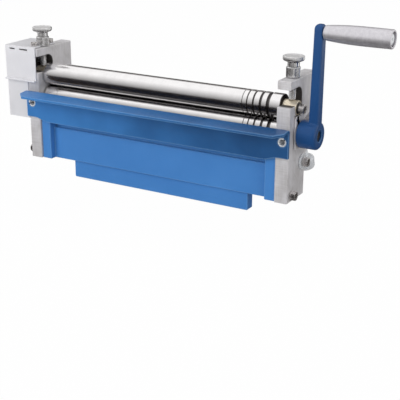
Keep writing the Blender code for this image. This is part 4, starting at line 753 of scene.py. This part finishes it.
for side in ("left", "right"):
    top, length = reach(f"top_screw_{side}", (0, 0, 1))
    rim = ridges(CAP_RADIUS, KNURL_DEPTH, CAP_RIDGES, CAP_STEPS)
    profile = [*CAP_DISH, (0, CAP_RADIUS - 0.0009), (0.0002, CAP_RADIUS - 0.0004), (0.0008, rim),
               (0.0034, rim), (0.0040, CAP_RADIUS - 0.0003), (0.0047, CAP_RADIUS - 0.0009),
               (0.0062, NECK_RADIUS + 0.0005), (0.0066, NECK_RADIUS), (0.0104, NECK_RADIUS),
               (0.0108, NECK_RADIUS - 0.0004), (0.0108, SCREW_RADIUS),
               *threads(0.0113, length - 0.001, CAP_STEPS),
               (length - 0.0006, SCREW_RADIUS - 0.0006), (length, SCREW_RADIUS - 0.0012),
               (length, 0)]
    turned(f"top_screw_{side}", "turned", turned_steel, f"{side}_top_screw", top, (0, 0, -1),
           *zip(*profile), steps=CAP_STEPS)
    top, length = reach(f"lock_nut_{side}", (0, 0, 1))
    along, radius = sleeve(length, SCREW_RADIUS + 0.0003, NUT_RADIUS, 0.0008)
    radius[2] = radius[3] = ridges(NUT_RADIUS, NUT_KNURL_DEPTH, NUT_RIDGES, NUT_STEPS)
    turned(f"lock_nut_{side}", "knurled", turned_steel, f"{side}_lock_nut", top, (0, 0, -1),
           along, radius, ring=True, steps=NUT_STEPS)

# Crank: hub and arm are one casting in the same blue, in deeper tones for painted shade, locked
# on the lower roll's journal by a set screw. The edges are soft from the mould: a fine grid of
# cells, smoothed a few times.
CRANK_EDGE = 0.0001
CASTING_GRID = 0.0006
SET_SCREW_RADIUS = 0.0025
# Painted shade: the crank's paint is a darker copy of the bed's blue.
crank_paint_shaded = painted("crank_paint_shaded", (20, 62, 112), (30, 78, 134), 0.12)
crank = refined("crank_arm", "cast", crank_paint_shaded, "driven_roll", CRANK_EDGE)
crank.modifiers.clear()
softened = crank.modifiers.new("grid", "REMESH")
softened.mode = "VOXEL"
softened.voxel_size = CASTING_GRID
softened.use_smooth_shade = True
melted = crank.modifiers.new("melted", "SMOOTH")
melted.iterations = 3
socket_face, length = reach("crank_set_screw", (0, 1, 0))
profile = [(0.0022, 0), (0.002, 0.0011), (0, 0.0012), (0, 0.0021), (0.0004, SET_SCREW_RADIUS),
           (length - 0.0004, SET_SCREW_RADIUS), (length, 0.002), (length, 0)]
turned("crank_set_screw", "machined", dark_steel, "driven_roll", socket_face, (0, -1, 0),
       *zip(*profile), steps=48)

# Grip: a barrel turned from aluminium, slim at the arm and full at the end, that spins on a
# headed spindle. Its shares pair a place along the grip with a radius, and a curve joins them.
GRIP_RADIUS = 0.0096
GRIP_BORE = 0.00365
GRIP_RECESS = 0.004
GRIP_WALL = 0.0016
GRIP_SHARES = np.array([(0.015, 0.78), (0.16, 0.88), (0.36, 0.97), (0.60, 1), (0.82, 1),
                        (0.975, 0.99)])
GRIP_FOOT_SHARE = 0.69
GRIP_LIP_SHARE = 0.93
SPINDLE_RADIUS = 0.0035
SPINDLE_HEAD = [(0.0009, 0), (0.0007, 0.0012), (0, 0.0016), (0, 0.0046), (0.0003, 0.0054),
                (0.0010, 0.0058), (0.0026, 0.0058), (0.0028, 0.0056)]
grip_aluminium = Finish("grip_aluminium", "grip_aluminium", metallic=0.75)
mottle = grip_aluminium.noise(0.003, 4, 0.6)
tool_rings = grip_aluminium.rings(0.0004, 2)
spun = grip_aluminium.toned(mottle * 0.6 + tool_rings * 0.4, (0.35, 0.65),
                            (204, 201, 206), (220, 218, 222))
# Painted shade: the grip's hollows darkened towards a dark grey.
grip_aluminium.set(base_color=grip_aluminium.shaded_in_hollows(spun, 0.003, (0.2, 0.85), 0.85, (50, 46, 46)))
grip_aluminium.set(roughness=grip_aluminium.between(mottle, 0.3, 0.7, 0.34, 0.46))
grip_aluminium.bump(tool_rings + mottle, 0.00001, 0.5, edge=0.0003)
inner_end, grip_length = reach("grip", (-1, 0, 0))
swell = np.linspace(GRIP_SHARES[0, 0], GRIP_SHARES[-1, 0], 40)
barrel = np.minimum(np.polyval(np.polyfit(*GRIP_SHARES.T, 4), swell), 1) * GRIP_RADIUS
rounding = np.linspace(0, math.pi / 2, 5)
lip_along = swell[-1] + (1 - swell[-1]) * np.sin(rounding)
lip_radius = GRIP_LIP_SHARE + (1 - GRIP_LIP_SHARE) * np.cos(rounding)
recess_radius = GRIP_LIP_SHARE * GRIP_RADIUS - GRIP_WALL
profile = [(0, GRIP_BORE), (0, GRIP_FOOT_SHARE * GRIP_RADIUS), *zip(swell * grip_length, barrel),
           *zip(grip_length * lip_along, GRIP_RADIUS * lip_radius),
           (grip_length, recess_radius + 0.0003), (grip_length - 0.0003, recess_radius),
           (grip_length - GRIP_RECESS, recess_radius), (grip_length - GRIP_RECESS, GRIP_BORE)]
turned("grip", "turned", grip_aluminium, "crank_grip", inner_end, (1, 0, 0), *zip(*profile),
       ring=True, steps=128)
spindle_end, length = reach("grip_spindle", (1, 0, 0))
profile = [*SPINDLE_HEAD, (0.0028, SPINDLE_RADIUS), (length - 0.0005, SPINDLE_RADIUS),
           (length, 0.003), (length, 0)]
turned("grip_spindle", "turned", bright_zinc, "driven_roll", spindle_end, (-1, 0, 0),
       *zip(*profile), steps=96)

# Rear roll's bearings: square milled blocks that slide in slanted windows, each pushed up by a
# screw with a round knurled knob below. The knob's foot lies a drop below the rear roll's axis.
SLIDE_TILT = math.radians(15)
SLIDE = np.array((0, -math.sin(SLIDE_TILT), math.cos(SLIDE_TILT)))
BLOCK_EDGE = 0.0004
KNOB_DROP = 0.0440
KNOB_RADIUS = 0.0105
KNOB_LENGTH = 0.0120
KNOB_RIDGES = 56
KNOB_STEPS = 224
KNOB_SCREW_END = 0.0372
rear_axis = np.array(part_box("rear_roll")).mean(0)
for side in ("left", "right"):
    refined(f"rear_block_{side}", "milled", machined_steel, "rear_blocks", BLOCK_EDGE)
    knob_middle = np.array(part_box(f"rear_knob_{side}")).mean(0)[0]
    foot = np.array((knob_middle, *rear_axis[1:])) - KNOB_DROP * SLIDE
    knurl = ridges(KNOB_RADIUS, KNURL_DEPTH, KNOB_RIDGES, KNOB_STEPS)
    profile = [(0.0006, 0), (0.0006, 0.0060), (0, 0.0066), (0, KNOB_RADIUS - 0.0015),
               (0.0005, KNOB_RADIUS - 0.0006), (0.0015, knurl), (KNOB_LENGTH - 0.0015, knurl),
               (KNOB_LENGTH - 0.0005, KNOB_RADIUS - 0.0006), (KNOB_LENGTH, KNOB_RADIUS - 0.0015),
               (KNOB_LENGTH, SCREW_RADIUS), *threads(KNOB_LENGTH + 0.0005, 0.0365, KNOB_STEPS),
               (KNOB_SCREW_END - 0.0005, SCREW_RADIUS - 0.0004),
               (KNOB_SCREW_END, SCREW_RADIUS - 0.0010), (KNOB_SCREW_END, 0)]
    turned(f"rear_knob_{side}", "turned", bright_zinc, f"{side}_rear_knob", foot, SLIDE,
           *zip(*profile), steps=KNOB_STEPS)
